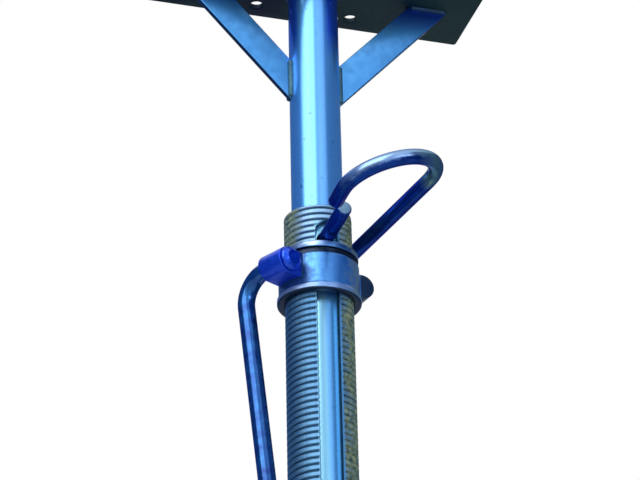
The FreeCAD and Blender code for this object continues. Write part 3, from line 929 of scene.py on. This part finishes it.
def add_streaked_paint(tree):
    """The streaks of a tube and its scuffed paint."""
    streaks = add_mottle(tree, stretch=STREAKS)
    paint = blend_colours(tree, streaks, PAINT_DEEP, PAINT_LIGHT)
    return streaks, cover(tree, paint, UNDERCOAT_AND_SHADE, add_noise(tree, scale=160, detail=5), SCUFFED)


def make_tube_paint():
    """Streaked paint, wiped where the tube slides, with a painted highlight there and painted shade
    under the plate.
    """
    finish = new_finish("tube_blue", {"Metallic": 0.8, "Coat Weight": 1.0, "Coat Roughness": 0.15})
    tree = finish.node_tree
    streaks, paint = add_streaked_paint(tree)
    level = axes_of(tree)["Z"]
    facing = facing_of(tree, HIGHLIGHT_SIDE)
    # The stripe that faces the light is a painted highlight.
    wiped_and_highlight = blend_colours(tree, remap(tree, facing, *HIGHLIGHT_STRIPE), RUBBED, PAINTED_HIGHLIGHT)
    paint = cover(tree, paint, wiped_and_highlight, level, WIPED)
    # The sides close under the plate are darkened as painted shade; only the side facing the light
    # keeps the paint below.
    shaded_sides = remap(tree, facing, *SHADED_SIDES_FACING)
    top_shade = compute(tree, "MULTIPLY", shaded_sides, remap(tree, level, *SHADE_UNDER_HEAD))
    paint = blend_colours(tree, top_shade, paint, TUBE_TOP_SHADE)
    return end_finish(finish, paint, streaks, TUBE_ROUGHNESS, strength=0.06, scale=700)


paint_pieces(make_tube_paint(), inner_tube)

# %% [markdown]
# ### Brace paint
# The braces are hot-rolled flat bar, a little darker than the tube and mottled evenly, with no streaks.
# Their upper ends are darkened under the plate as painted shade, and their narrow faces are painted
# nearly black as shade. The narrow faces lie between the two wide faces, so a mask on the distance from
# the bar's middle finds them without any marking of faces.

# %% Brace paint
BRACE_DEEP = (0.05, 0.27, 0.62)
BRACE_LIGHT = (0.08, 0.36, 0.76)
# Painted shade: the narrow faces of the braces are nearly black.
NARROW_FACE_SHADE = (0.008, 0.03, 0.09)
# Painted shade: the upper ends of the braces darken under the plate.
BRACE_SHADE_UNDER_PLATE = (0.004, 0.045, 0.55)
NARROW_FACE = ((BRACE_THICKNESS / 2 - 0.8 * MM, BRACE_THICKNESS / 2 - 0.3 * MM), (1, 0))
UNDER_PLATE = ((HEAD_UNDER - 32 * MM, HEAD_UNDER - 8 * MM), (0, 0.88))
BRACE_ROUGHNESS = (0.38, 0.28)


def make_brace_paint():
    """Mottled paint, with painted shade under the plate and on the narrow faces."""
    finish = new_finish("brace_blue", {"Metallic": 0.8, "Coat Weight": 0.5, "Coat Roughness": 0.2})
    tree = finish.node_tree
    _, y, z = axes_of(tree)
    mottle = add_mottle(tree, scale=120, detail=4)
    paint = blend_colours(tree, mottle, BRACE_DEEP, BRACE_LIGHT)
    # The upper ends under the plate are darkened as painted shade.
    paint = cover(tree, paint, BRACE_SHADE_UNDER_PLATE, z, UNDER_PLATE)
    # The narrow faces are darkened as painted shade.
    paint = cover(tree, paint, NARROW_FACE_SHADE, compute(tree, "ABSOLUTE", y), NARROW_FACE)
    return end_finish(finish, paint, mottle, BRACE_ROUGHNESS, strength=0.08, scale=500)


paint_pieces(make_brace_paint(), brace_left, brace_right)

# %% [markdown]
# ### Weld paint
# Paint lies thin on a weld and turns a dull teal over the scale, and at the plate the beads are painted
# nearly black as shade. Coarse noise for the colour and a stronger bump for spatter are enough, because
# the ripples are already in the mesh.

# %% Weld paint
WELD_DARK = (0.02, 0.08, 0.14)
WELD_PALE = (0.07, 0.20, 0.26)
# Painted shade: the beads at the plate are nearly black.
WELD_SHADE_AT_PLATE = (0.006, 0.03, 0.10)
AT_PLATE = ((HEAD_UNDER - 10 * MM, HEAD_UNDER - 6 * MM), (0, 0.85))
WELD_ROUGHNESS = (0.38, 0.55)


def make_weld_paint():
    """Dull paint over scale, with painted shade at the plate."""
    finish = new_finish("weld_teal", {"Metallic": 0.5})
    tree = finish.node_tree
    crumbs = add_mottle(tree, scale=240, detail=5)
    bead = blend_colours(tree, crumbs, WELD_DARK, WELD_PALE)
    # The beads at the plate are darkened as painted shade.
    bead = cover(tree, bead, WELD_SHADE_AT_PLATE, axes_of(tree)["Z"], AT_PLATE)
    return end_finish(finish, bead, crumbs, WELD_ROUGHNESS, strength=0.2, depth=0.4 * MM,
                      scale=600, detail=4)


paint_pieces(make_weld_paint(), foot_weld, head_weld, left_welds, right_welds)

# %% [markdown]
# ### Thread finish
# The nut has rubbed the crests to bare bluish steel, most of all above it, and oil lies dark in the
# grooves. The left side of the thread is darkened as painted shade. On the weather side dust has stuck
# to the oil in an olive crust, and there is some on the left above the nut. Groove and crest differ
# only in their distance from the axis, and the sides in their direction, so masks on these two place
# all of it. The cut faces of the slot stay clean. Below the thread the tube is painted like the rest,
# scraped along its length and dusty at the foot.

# %% Paint of the plain length
PATCH_SPAN = (0.35, 0.65)
SCRAPES = (170, 170, 12)
SCRAPED = (SCUFF_SPAN, (0, 0.8))
FLOOR_DUST = (0.30, 0.31, 0.30)
DUST_TOP = 0.45
DUST_FALLOFF = ((BASE_TOP, DUST_TOP), (0.7, 0))


def add_plain_length(tree, paint):
    """Scrapes and floor dust over the paint of the plain length."""
    paint = cover(tree, paint, UNDERCOAT_AND_SHADE, add_noise(tree, stretch=SCRAPES, detail=2), SCRAPED)
    splashed = remap(tree, add_noise(tree, scale=40, detail=6), PATCH_SPAN)
    dusty = compute(tree, "MULTIPLY", remap(tree, axes_of(tree)["Z"], *DUST_FALLOFF), splashed)
    return blend_colours(tree, dusty, paint, FLOOR_DUST)


print("floor dust reaches up to", DUST_TOP, "m")

# %% Oiled steel, crust and slot
CREST_DEEP = (0.08, 0.24, 0.48)
CREST_LIGHT = (0.20, 0.46, 0.70)
CREST_BARE = (0.42, 0.64, 0.86)
OIL_AND_SHADE = (0.015, 0.06, 0.13)
ABOVE_NUT = (NUT_TOP - 6 * MM, NUT_TOP)
RUBBED_BARE = (ABOVE_NUT, (0, 0.6))
IN_GROOVE = ((ROOT_RADIUS + 0.2 * MM, CREST_RADIUS - 0.2 * MM), (1, 0))
# Painted shade: the left side of the thread is darkened.
THREAD_LEFT_SHADE_SIDE = ((-1.0, -0.2), (0.5, 0))
CRUST_EDGE = (-0.1, 0.1)
RIGHT_CRUST = ((0.68, 0.95), (0, 0.95))
LEFT_CRUST = ((-0.92, -0.72), (0.8, 0))
BETWEEN_CUTS = ((SLOT_HALF_WIDTH + 0.2 * MM, SLOT_HALF_WIDTH + 0.5 * MM), (1, 0))
BELOW_SLOT_TOP = ((SLOT_TOP - 1 * MM, SLOT_TOP), (1, 0))
ABOVE_SLOT_FOOT = ((SLOT_FOOT, SLOT_FOOT + 1 * MM), FULL)


def add_oiled_and_shaded_steel(tree, streaks):
    """Bare crests with oil in the grooves, and painted shade on the left."""
    x, y, z = axes_of(tree)
    steel = blend_colours(tree, streaks, CREST_DEEP, CREST_LIGHT)
    steel = cover(tree, steel, CREST_BARE, z, RUBBED_BARE)
    groove = remap(tree, reach_of(tree, x, y), *IN_GROOVE)
    # The left side is darkened as painted shade; the grooves hold oil.
    thread_left_shade = remap(tree, facing_of(tree, RIGHT_SIDE), *THREAD_LEFT_SHADE_SIDE)
    return blend_colours(tree, compute(tree, "MAXIMUM", groove, thread_left_shade), steel, OIL_AND_SHADE)


def find_crust(tree):
    """Share of crust: on the weather side all the way down, and on the left above the nut."""
    patches = remap(tree, add_noise(tree, scale=60), PATCH_SPAN, CRUST_EDGE)
    weather = compute(tree, "ADD", facing_of(tree, WEATHER_SIDE), patches)
    rightwards = compute(tree, "ADD", facing_of(tree, RIGHT_SIDE), patches)
    above_nut = remap(tree, axes_of(tree)["Z"], ABOVE_NUT)
    on_left = compute(tree, "MULTIPLY", remap(tree, rightwards, *LEFT_CRUST), above_nut)
    return compute(tree, "MAXIMUM", remap(tree, weather, *RIGHT_CRUST), on_left)


def find_cut_faces(tree):
    """Share of cut steel: 1 on the faces that the slot has laid open."""
    x, _, z = axes_of(tree)
    between = remap(tree, compute(tree, "ABSOLUTE", x), *BETWEEN_CUTS)
    below_top = compute(tree, "MULTIPLY", between, remap(tree, z, *BELOW_SLOT_TOP))
    return compute(tree, "MULTIPLY", below_top, remap(tree, z, *ABOVE_SLOT_FOOT))


print("slot from", round(SLOT_FOOT, 3), "to", round(SLOT_TOP, 3), "m")

# %% Thread finish
CRUST_DARK = (0.02, 0.06, 0.06)
CRUST_PALE = (0.28, 0.34, 0.17)
CRUST_SPAN = (0.32, 0.66)
SLOT_STEEL = (0.24, 0.48, 0.66)
THREADED = (THREAD_FOOT - 2 * MM, THREAD_FOOT + 2 * MM)
THREAD_METAL = 0.75
THREAD_ROUGHNESS = (0.26, 0.45)


def make_thread_finish():
    """The finish of the outer tube: steel, oil and crust on the thread, scraped paint below it."""
    finish = new_finish("thread_steel_blue", {"Metallic": THREAD_METAL})
    tree = finish.node_tree
    streaks, paint = add_streaked_paint(tree)
    cut_faces = find_cut_faces(tree)
    crusted = compute(tree, "MULTIPLY", find_crust(tree), compute(tree, "SUBTRACT", 1, cut_faces))
    speckle = remap(tree, add_noise(tree, scale=260, detail=4), CRUST_SPAN)
    crust = blend_colours(tree, speckle, CRUST_DARK, CRUST_PALE)
    thread = blend_colours(tree, crusted, add_oiled_and_shaded_steel(tree, streaks), crust)
    thread = blend_colours(tree, cut_faces, thread, SLOT_STEEL)
    threaded = remap(tree, axes_of(tree)["Z"], THREADED)
    dull = compute(tree, "MULTIPLY", crusted, threaded)
    feed(tree, "Metallic", remap(tree, dull, FULL, (THREAD_METAL, 0)))
    paint = blend_colours(tree, threaded, add_plain_length(tree, paint), thread)
    return end_finish(finish, paint, threaded, THREAD_ROUGHNESS, strength=0.06, scale=700)


paint_pieces(make_thread_finish(), outer_tube)

# %% [markdown]
# ### Nut finish
# The casting is speckled blue, darkened on its right as painted shade. A painted highlight makes the
# front of its flange bright, and its lip is worn pale. Painted shade darkens the groove, the foot and
# the right of the flange, dust lies on the weather side, and painted shade darkens the lower left to
# the undercoat's colour. The lugs kept their first, deep coat, and the smaller one is painted nearly
# black as shade. All these zones are rings, levels or sides, so height, distance from the axis and
# direction mask them.

# %% Worn paint of the nut
CAST_DEEP = (0.07, 0.28, 0.74)
CAST_LIGHT = (0.14, 0.44, 0.90)
# Painted shade: the right of the casting is a deeper blue.
CAST_SHADED = (0.02, 0.16, 0.55)
# Painted highlight: a bright strip on the front of the flange, where it faces the light.
FLANGE_HIGHLIGHT = (0.64, 0.80, 0.98)
LIP_WORN = (0.42, 0.56, 0.82)
# Painted shade: nearly black in the groove under the flange, at the foot and on the flange's right.
NUT_SHADE_DARK = (0.006, 0.022, 0.06)
NUT_DUST = (0.22, 0.30, 0.28)
FLANGE_HIGHLIGHT_SIDE = radians(-128)
RAGGED = (-0.1, 0.1)
ON_FLANGE = ((flange_foot + 0.4 * MM, flange_foot + 1.4 * MM), (0, 0.8))
FLANGE_HIGHLIGHT_FACING = ((0.80, 0.98), (0.25, 1))
SHADED_SIDE = ((-0.30, 0.30), (0, 0.7))
FLANGE_RIGHT_SHADE_SIDE = ((0.05, 0.35), (0, 0.7))
# Painted shade: the left of the nut, most of all low down, is darkened to the undercoat's colour.
LEFT_SHADE_SIDE = ((-0.60, -0.42), (0.85, 0))
LEFT_SHADE_LOWER = ((nut_foot + 18 * MM, nut_foot + 27 * MM), (0.09, 0))
ON_LIP = ((lip_top - 0.5 * MM, lip_top + 0.5 * MM), (0.5, 0))
DUSTY_SIDE = ((0.86, 0.99), (0, 0.7))


def add_worn_and_shaded_casting(tree, speckle):
    """Speckled paint of the ring with its worn and dusty places, a painted highlight on the flange and
    painted shade on its sides.
    """
    level = axes_of(tree)["Z"]
    ragged = remap(tree, speckle, FULL, RAGGED)
    rightwards = compute(tree, "ADD", facing_of(tree, RIGHT_SIDE), ragged)
    weather = compute(tree, "ADD", facing_of(tree, WEATHER_SIDE), ragged)
    flange = remap(tree, level, *ON_FLANGE)
    # The bright front of the flange is a painted highlight.
    flange_highlight = compute(tree, "MULTIPLY", flange, remap(tree, facing_of(tree, FLANGE_HIGHLIGHT_SIDE), *FLANGE_HIGHLIGHT_FACING))
    # The right of the flange is darkened as painted shade.
    flange_right_shade = compute(tree, "MULTIPLY", flange, remap(tree, rightwards, *FLANGE_RIGHT_SHADE_SIDE))
    nut_left_shade = compute(tree, "SUBTRACT", rightwards, remap(tree, level, *LEFT_SHADE_LOWER))
    paint = blend_colours(tree, speckle, CAST_DEEP, CAST_LIGHT)
    paint = blend_colours(tree, flange_highlight, paint, FLANGE_HIGHLIGHT)
    # The right of the nut is darkened here as painted shade.
    paint = cover(tree, paint, CAST_SHADED, rightwards, SHADED_SIDE)
    paint = blend_colours(tree, flange_right_shade, paint, NUT_SHADE_DARK)
    # The left of the nut is darkened here as painted shade.
    paint = cover(tree, paint, UNDERCOAT_AND_SHADE, nut_left_shade, LEFT_SHADE_SIDE)
    paint = cover(tree, paint, LIP_WORN, level, ON_LIP)
    return cover(tree, paint, NUT_DUST, weather, DUSTY_SIDE)


print("lip worn up to", round(lip_top, 4), "and flange from", round(flange_foot, 4), "m")

# %% Nut finish
FIRST_COAT = (0.007, 0.08, 0.78)
FIRST_COAT_DEEP = (0.005, 0.05, 0.58)
# Painted shade: the smaller lug is nearly black.
STRIKE_LUG_SHADE = (0.012, 0.04, 0.10)
ON_STRIKE_LUG = ((0, 10 * MM), FULL)
ON_LUGS = ((NUT_LIP + 0.1 * MM, NUT_LIP + 0.8 * MM), FULL)
UNDER_FLANGE = ((flange_foot + 0.1 * MM, flange_foot + 0.4 * MM), (1, 0))
ABOVE_BARREL = ((groove_foot - 0.4 * MM, groove_foot - 0.1 * MM), FULL)
AT_FOOT = ((nut_foot + 1.0 * MM, nut_foot + 2.0 * MM), (1, 0))
NUT_ROUGHNESS = (0.28, 0.42)


def make_nut_finish():
    """A worn ring with a deep coat on its lugs, and painted shade in the groove and at the foot."""
    finish = new_finish("nut_cast_blue", {"Metallic": 0.7, "Coat Weight": 0.2, "Coat Roughness": 0.2})
    tree = finish.node_tree
    x, y, z = axes_of(tree)
    speckle = add_mottle(tree, scale=220, detail=5)
    first_coat = blend_colours(tree, speckle, FIRST_COAT_DEEP, FIRST_COAT)
    # The smaller lug is darkened as painted shade.
    lug_coat_and_shade = cover(tree, first_coat, STRIKE_LUG_SHADE, x, ON_STRIKE_LUG)
    paint = cover(tree, add_worn_and_shaded_casting(tree, speckle), lug_coat_and_shade, reach_of(tree, x, y), ON_LUGS)
    groove = compute(tree, "MULTIPLY", remap(tree, z, *UNDER_FLANGE), remap(tree, z, *ABOVE_BARREL))
    # The groove and the foot are darkened as painted shade.
    shaded_under = compute(tree, "MAXIMUM", groove, remap(tree, z, *AT_FOOT))
    paint = blend_colours(tree, shaded_under, paint, NUT_SHADE_DARK)
    return end_finish(finish, paint, speckle, NUT_ROUGHNESS, strength=0.15, depth=0.4 * MM,
                      scale=420, detail=4)


paint_pieces(make_nut_finish(), nut)

# %% [markdown]
# ### Rod paint
# Pin and handle are dipped twice and darker than the rest, the handle with the higher gloss. A pale
# painted highlight lies along the upper outside of the pin's loop, and its far corner is dulled all
# round. A Mapping node takes each point back to the bench on which the pin was bent, where the loop is
# a flat circle, so that the distance from its centre finds its outside. The handle's head was never
# rubbed and keeps the first coat, as the lug beside it does.

# %% Marks of use on the rods
# Painted highlight: the pale band on the upper outside of the loop.
LOOP_HIGHLIGHT = (0.28, 0.44, 0.70)
LOOP_DULL = (0.20, 0.34, 0.28)
HIGHLIGHT_TURN = radians(55)
HIGHLIGHT_EDGE = (-1.5 * MM, 1.5 * MM)
HIGHLIGHT_OUTSIDE = ((0, 3 * MM), (0, 0.9))
HIGHLIGHT_AHEAD = ((5 * MM, 25 * MM), FULL)
FAR_SIDE = ((12 * MM, 30 * MM), (0, 0.8))
CORNER_AHEAD = ((-14 * MM, -2 * MM), FULL)
DULLED_SIDE = (0, 35 * MM)
ON_HEAD = ((12.5 * MM, 14 * MM), (0.85, 0))


def add_loop_highlight_and_wear(tree, paint):
    """Paint of a rod, with a painted highlight on the upper outside of the pin's loop and its far
    corner dulled.
    """
    bench = tree.nodes.new("ShaderNodeMapping")
    bench.vector_type = "TEXTURE"
    bench.inputs["Location"].default_value = PIN_PLACE
    bench.inputs["Rotation"].default_value = PIN_TURN
    parts = tree.nodes.new("ShaderNodeSeparateXYZ")
    tree.links.new(object_place(tree), bench.inputs["Vector"])
    tree.links.new(bench.outputs["Vector"], parts.inputs["Vector"])
    ahead = compute(tree, "SUBTRACT", parts.outputs["X"], loop_x)
    aside = compute(tree, "SUBTRACT", parts.outputs["Y"], loop_y)
    outside = compute(tree, "SUBTRACT", reach_of(tree, ahead, aside), PIN_LOOP_RADIUS)
    outward_up = turn_axes(tree, outside, parts.outputs["Z"], HIGHLIGHT_TURN)
    patches = remap(tree, add_noise(tree, scale=120, detail=4), NOISE_SPAN, HIGHLIGHT_EDGE)
    # The pale band on the loop's upper outside is a painted highlight.
    worn = remap(tree, compute(tree, "ADD", outward_up, patches), *HIGHLIGHT_OUTSIDE)
    worn = compute(tree, "MULTIPLY", worn, remap(tree, ahead, *HIGHLIGHT_AHEAD))
    corner = compute(tree, "MULTIPLY", remap(tree, aside, *FAR_SIDE), remap(tree, ahead, *CORNER_AHEAD))
    # Pale painted highlight, turning to dulled steel at the far corner.
    steel = blend_colours(tree, remap(tree, aside, DULLED_SIDE), LOOP_HIGHLIGHT, LOOP_DULL)
    return blend_colours(tree, compute(tree, "MAXIMUM", worn, corner), paint, steel)


def add_first_coat(tree, paint):
    """Paint of a rod, with the first coat left on the handle's head as on the lug beside it."""
    distance = tree.nodes.new("ShaderNodeVectorMath")
    distance.operation = "DISTANCE"
    distance.inputs[1].default_value = hinge + Vector((-sin(NUT_TURN), cos(NUT_TURN), 0)) * shoulder
    tree.links.new(object_place(tree), distance.inputs[0])
    return cover(tree, paint, FIRST_COAT, distance.outputs["Value"], ON_HEAD)


print("loop centre on the bench", [round(c, 4) for c in loop_centre])

# %% Rod paint
ROD_DEEP = (0.005, 0.034, 0.22)
ROD_EDGE = (0.1, 0.2, 0.6)
PIN_LIGHT = (0.010, 0.062, 0.34)
PIN_GLOSS = 0.1
LEVER_LIGHT = (0.020, 0.150, 0.42)
HANDLE_GLOSS = 0.6
ROD_ROUGHNESS = (0.26, 0.18)


def make_rod_paint(name, gloss, light, add_marks):
    """The dark coat of a rod, with the marks of its own use added over it."""
    finish = new_finish(name, {"Metallic": 0.85, "Coat Weight": gloss, "Coat Roughness": 0.08,
                               "Specular Tint": (*ROD_EDGE, 1)})
    tree = finish.node_tree
    runs = add_mottle(tree, scale=90, detail=4)
    paint = add_marks(tree, blend_colours(tree, runs, ROD_DEEP, light))
    return end_finish(finish, paint, runs, ROD_ROUGHNESS, strength=0.08, scale=500)


paint_pieces(make_rod_paint("pin_navy", PIN_GLOSS, PIN_LIGHT, add_loop_highlight_and_wear), pin)
paint_pieces(make_rod_paint("handle_navy", HANDLE_GLOSS, LEVER_LIGHT, add_first_coat), handle)

# %% [markdown]
# ### Sawn ends
# The ends of the rods were sawn after they were painted and show paler steel with the marks of the saw.
# A mask could find them too, but their faces are flat and few, so they are picked by place and given a
# second material.

# %% Sawn ends
SAWN_DARK = (0.10, 0.22, 0.36)
SAWN_PALE = (0.24, 0.40, 0.56)
SAW_MARKS = (120, 120, 2400)
SAWN_ROUGHNESS = (0.5, 0.36)
END_DEPTH = 0.5 * MM


def make_sawn_steel():
    """Dull steel with the marks of a saw across it."""
    finish = new_finish("sawn_steel", {"Metallic": 0.6})
    tree = finish.node_tree
    marks = add_mottle(tree, stretch=SAW_MARKS)
    feed(tree, "Base Color", blend_colours(tree, marks, SAWN_DARK, SAWN_PALE))
    feed(tree, "Roughness", remap(tree, marks, FULL, SAWN_ROUGHNESS))
    add_bump(tree, marks, strength=0.1)
    return finish


def bare_the_end(rod, steel, is_end):
    """Give the faces of a sawn end the second material of a rod."""
    rod.data.materials.append(steel)
    edit_all(rod)
    pick_faces(rod, is_end)
    rod.active_material_index = 1
    bpy.ops.object.material_slot_assign()
    stop_editing()
    bared = sum(face.material_index == 1 for face in rod.data.polygons)
    print(rod.name, "has", bared, "faces of sawn steel")


def is_pin_end(at):
    """True on the bar's front end and on the hook's end beside it."""
    on_bar = abs(at.y + PIN_FRONT_REACH) < END_DEPTH and abs(at.x) < PIN_RADIUS
    on_hook = abs(at.y + PIN_TIP_REACH) < END_DEPTH and at.x < 0
    return on_bar or on_hook


handle_foot = low("nut_handle", Z)
sawn_steel = make_sawn_steel()
bare_the_end(pin, sawn_steel, is_pin_end)
bare_the_end(handle, sawn_steel, lambda at: at.z < handle_foot + END_DEPTH)

# %% [markdown]
# ### Plate paint
# The plates are painted nearly black, as thin paint over mill scale and as the shade under the head
# plate, and the scale has turned green in blotches, mostly on the right. Large noise gives the blotches
# and fine noise the pitted bump. Along the outline the edge has been knocked bare in places. The
# outline is a rectangle, so the distance to it follows from X and Y, and noise breaks it up.

# %% Plate paint
# Nearly black, partly painted shade for the underside of the head plate.
PLATE_BLUE = (0.002, 0.009, 0.030)
PLATE_GREEN = (0.014, 0.042, 0.042)
GREENER_RIGHT = ((-0.15, 0.15), (-0.12, 0.12))
KNOCKED_BARE = (0.07, 0.11, 0.14)
BARE_DEPTH = 1.4 * MM
AT_OUTLINE = (-BARE_DEPTH, -BARE_DEPTH / 4)
PLATE_ROUGHNESS = (0.5, 0.65)


def make_plate_paint(node):
    """The dark finish of one plate, with bare edges along its own outline."""
    finish = new_finish(f"{node}_dark", {"Metallic": 0.3, "Specular IOR Level": 0.2})
    tree = finish.node_tree
    x, y, _ = axes_of(tree)
    blotch = add_noise(tree, scale=18, detail=5)
    worn = remap(tree, blotch, NOISE_SPAN)
    green = compute(tree, "ADD", blotch, remap(tree, x, *GREENER_RIGHT))
    paint = blend_colours(tree, remap(tree, green, PATCH_SPAN), PLATE_BLUE, PLATE_GREEN)
    past_side = compute(tree, "SUBTRACT", compute(tree, "ABSOLUTE", x), high(node, X))
    past_end = compute(tree, "SUBTRACT", compute(tree, "ABSOLUTE", y), high(node, Y))
    outline = remap(tree, compute(tree, "MAXIMUM", past_side, past_end), AT_OUTLINE)
    knocks = remap(tree, add_noise(tree, scale=55, detail=5), PATCH_SPAN)
    bare = compute(tree, "MULTIPLY", outline, knocks)
    paint = blend_colours(tree, bare, paint, KNOCKED_BARE)
    return end_finish(finish, paint, worn, PLATE_ROUGHNESS, strength=0.12, depth=0.3 * MM, scale=300)


paint_pieces(make_plate_paint("base_plate"), base_plate)
paint_pieces(make_plate_paint("head_plate"), head_plate)

# %% [markdown]
# ## Floor, light and background
# The prop stands on a pale floor under one large soft lamp on the left and two weaker ones on the
# right. The background is white to the camera and to the metal. Cards of falling brightness stand round
# the prop outside the picture, as a photographer puts them, and give the round tubes their dark sides.

# %% Floor
FLOOR_SIZE = 30
FLOOR_PALE = (0.72, 0.72, 0.72, 1)

floor = add_new("floor", bpy.ops.mesh.primitive_plane_add, size=FLOOR_SIZE)
floor.data.materials.append(new_finish("floor_pale", {"Base Color": FLOOR_PALE, "Roughness": 0.9}))
print("floor", FLOOR_SIZE, "m wide")

# %% Cards
CARD_STEPS = 144
CARD_DISTANCE = 2.5
CARD_FOOT = 0.01
CARD_HEIGHT = 4.0
BACK_CARD_HEIGHT = 0.6
LEFT_DARK = (0.03, 0.11, 0.30)
RIGHT_BRIGHT = (0.68, 0.80, 0.98)
RIGHT_PALE = (0.50, 0.62, 0.84)
RIGHT_DULL = (0.32, 0.42, 0.62)
RIGHT_DARK = (0.05, 0.13, 0.28)
camera_bearing = atan2(towards_camera.y, towards_camera.x)


def bearing_from(middle, at):
    """Angle in degrees of a place about the prop, from a bearing that is counted from the camera."""
    angle = atan2(at.y, at.x) - camera_bearing - radians(middle)
    return degrees(atan2(sin(angle), cos(angle)))


def add_card(name, first, last, colour, height=CARD_HEIGHT):
    """An upright curved card between two bearings, which glows evenly and shows only in the metal."""
    middle = (first + last) / 2
    half_width = (last - first) / 2
    card = start_piece(name, bpy.ops.mesh.primitive_cylinder_add, vertices=CARD_STEPS,
                       radius=CARD_DISTANCE, depth=height, location=(0, 0, CARD_FOOT + height / 2),
                       end_fill_type="NOTHING")
    pick_faces(card, lambda at: abs(bearing_from(middle, at)) > half_width)
    bpy.ops.mesh.delete(type="FACE")
    stop_editing()
    card.data.materials.append(new_finish(f"{name}_colour", {
        "Base Color": (0, 0, 0, 1), "Emission Color": (*colour, 1), "Emission Strength": 1}))
    card.visible_camera = False
    card.visible_diffuse = False
    card.visible_shadow = False
    print(name, "from", first, "to", last, "degrees")


add_card("left_card", first=-165, last=-56, colour=LEFT_DARK)
add_card("first_right_card", first=-4, last=20, colour=RIGHT_BRIGHT)
add_card("second_right_card", first=20, last=35, colour=RIGHT_PALE)
add_card("third_right_card", first=35, last=50, colour=RIGHT_DULL)
add_card("last_right_card", first=50, last=165, colour=RIGHT_DARK)
add_card("low_back_card", first=165, last=195, colour=RIGHT_DARK, height=BACK_CARD_HEIGHT)

# %% Lamps
def add_softbox(name, right_of_camera, elevation, distance, size, power):
    """An area lamp placed by its angle from the camera, seen from the prop's upper end."""
    angle = camera_bearing + radians(right_of_camera)
    reach = cos(radians(elevation))
    way = Vector((cos(angle) * reach, sin(angle) * reach, sin(radians(elevation))))
    target = Vector((0, 0, RIM))
    lamp = add_new(name, bpy.ops.object.light_add, type="AREA", location=target + way * distance)
    lamp.data.shape = "RECTANGLE"
    lamp.data.size, lamp.data.size_y = size
    lamp.data.energy = power
    lamp.rotation_euler = way.to_track_quat("Z", "Y").to_euler()
    print(name, "of", power, "W at", [round(c, 2) for c in lamp.location])


add_softbox("key_softbox", right_of_camera=-31, elevation=32, distance=1.7, size=(1.6, 1.6), power=16)
add_softbox("fill_softbox", right_of_camera=30, elevation=30, distance=2.2, size=(1.0, 1.6), power=2.2)
add_softbox("low_softbox", right_of_camera=36, elevation=2, distance=2.2, size=(1.2, 0.6), power=5)

# %% World
AMBIENT = (0.85, 0.92, 1.0)
AMBIENT_STRENGTH = 0.7

world = bpy.data.worlds.new("studio")
bpy.context.scene.world = world
world.use_nodes = True
world_nodes = world.node_tree.nodes
world_links = world.node_tree.links
ambient = world_nodes["Background"]
ambient.inputs["Color"].default_value = (*AMBIENT, 1)
ambient.inputs["Strength"].default_value = AMBIENT_STRENGTH
white = world_nodes.new("ShaderNodeBackground")
white.inputs["Color"].default_value = (1, 1, 1, 1)
white.inputs["Strength"].default_value = 1
seen_by = world_nodes.new("ShaderNodeLightPath").outputs
shows_white = compute(world.node_tree, "MAXIMUM", seen_by["Is Camera Ray"], seen_by["Is Glossy Ray"])
shows_white = compute(world.node_tree, "MAXIMUM", shows_white, seen_by["Is Transmission Ray"])
mix = world_nodes.new("ShaderNodeMixShader")
world_links.new(shows_white, mix.inputs["Fac"])
world_links.new(ambient.outputs["Background"], mix.inputs[1])
world_links.new(white.outputs["Background"], mix.inputs[2])
world_links.new(mix.outputs["Shader"], world_nodes["World Output"].inputs["Surface"])
print("world of", AMBIENT_STRENGTH, "for light, white to the camera and the metal")
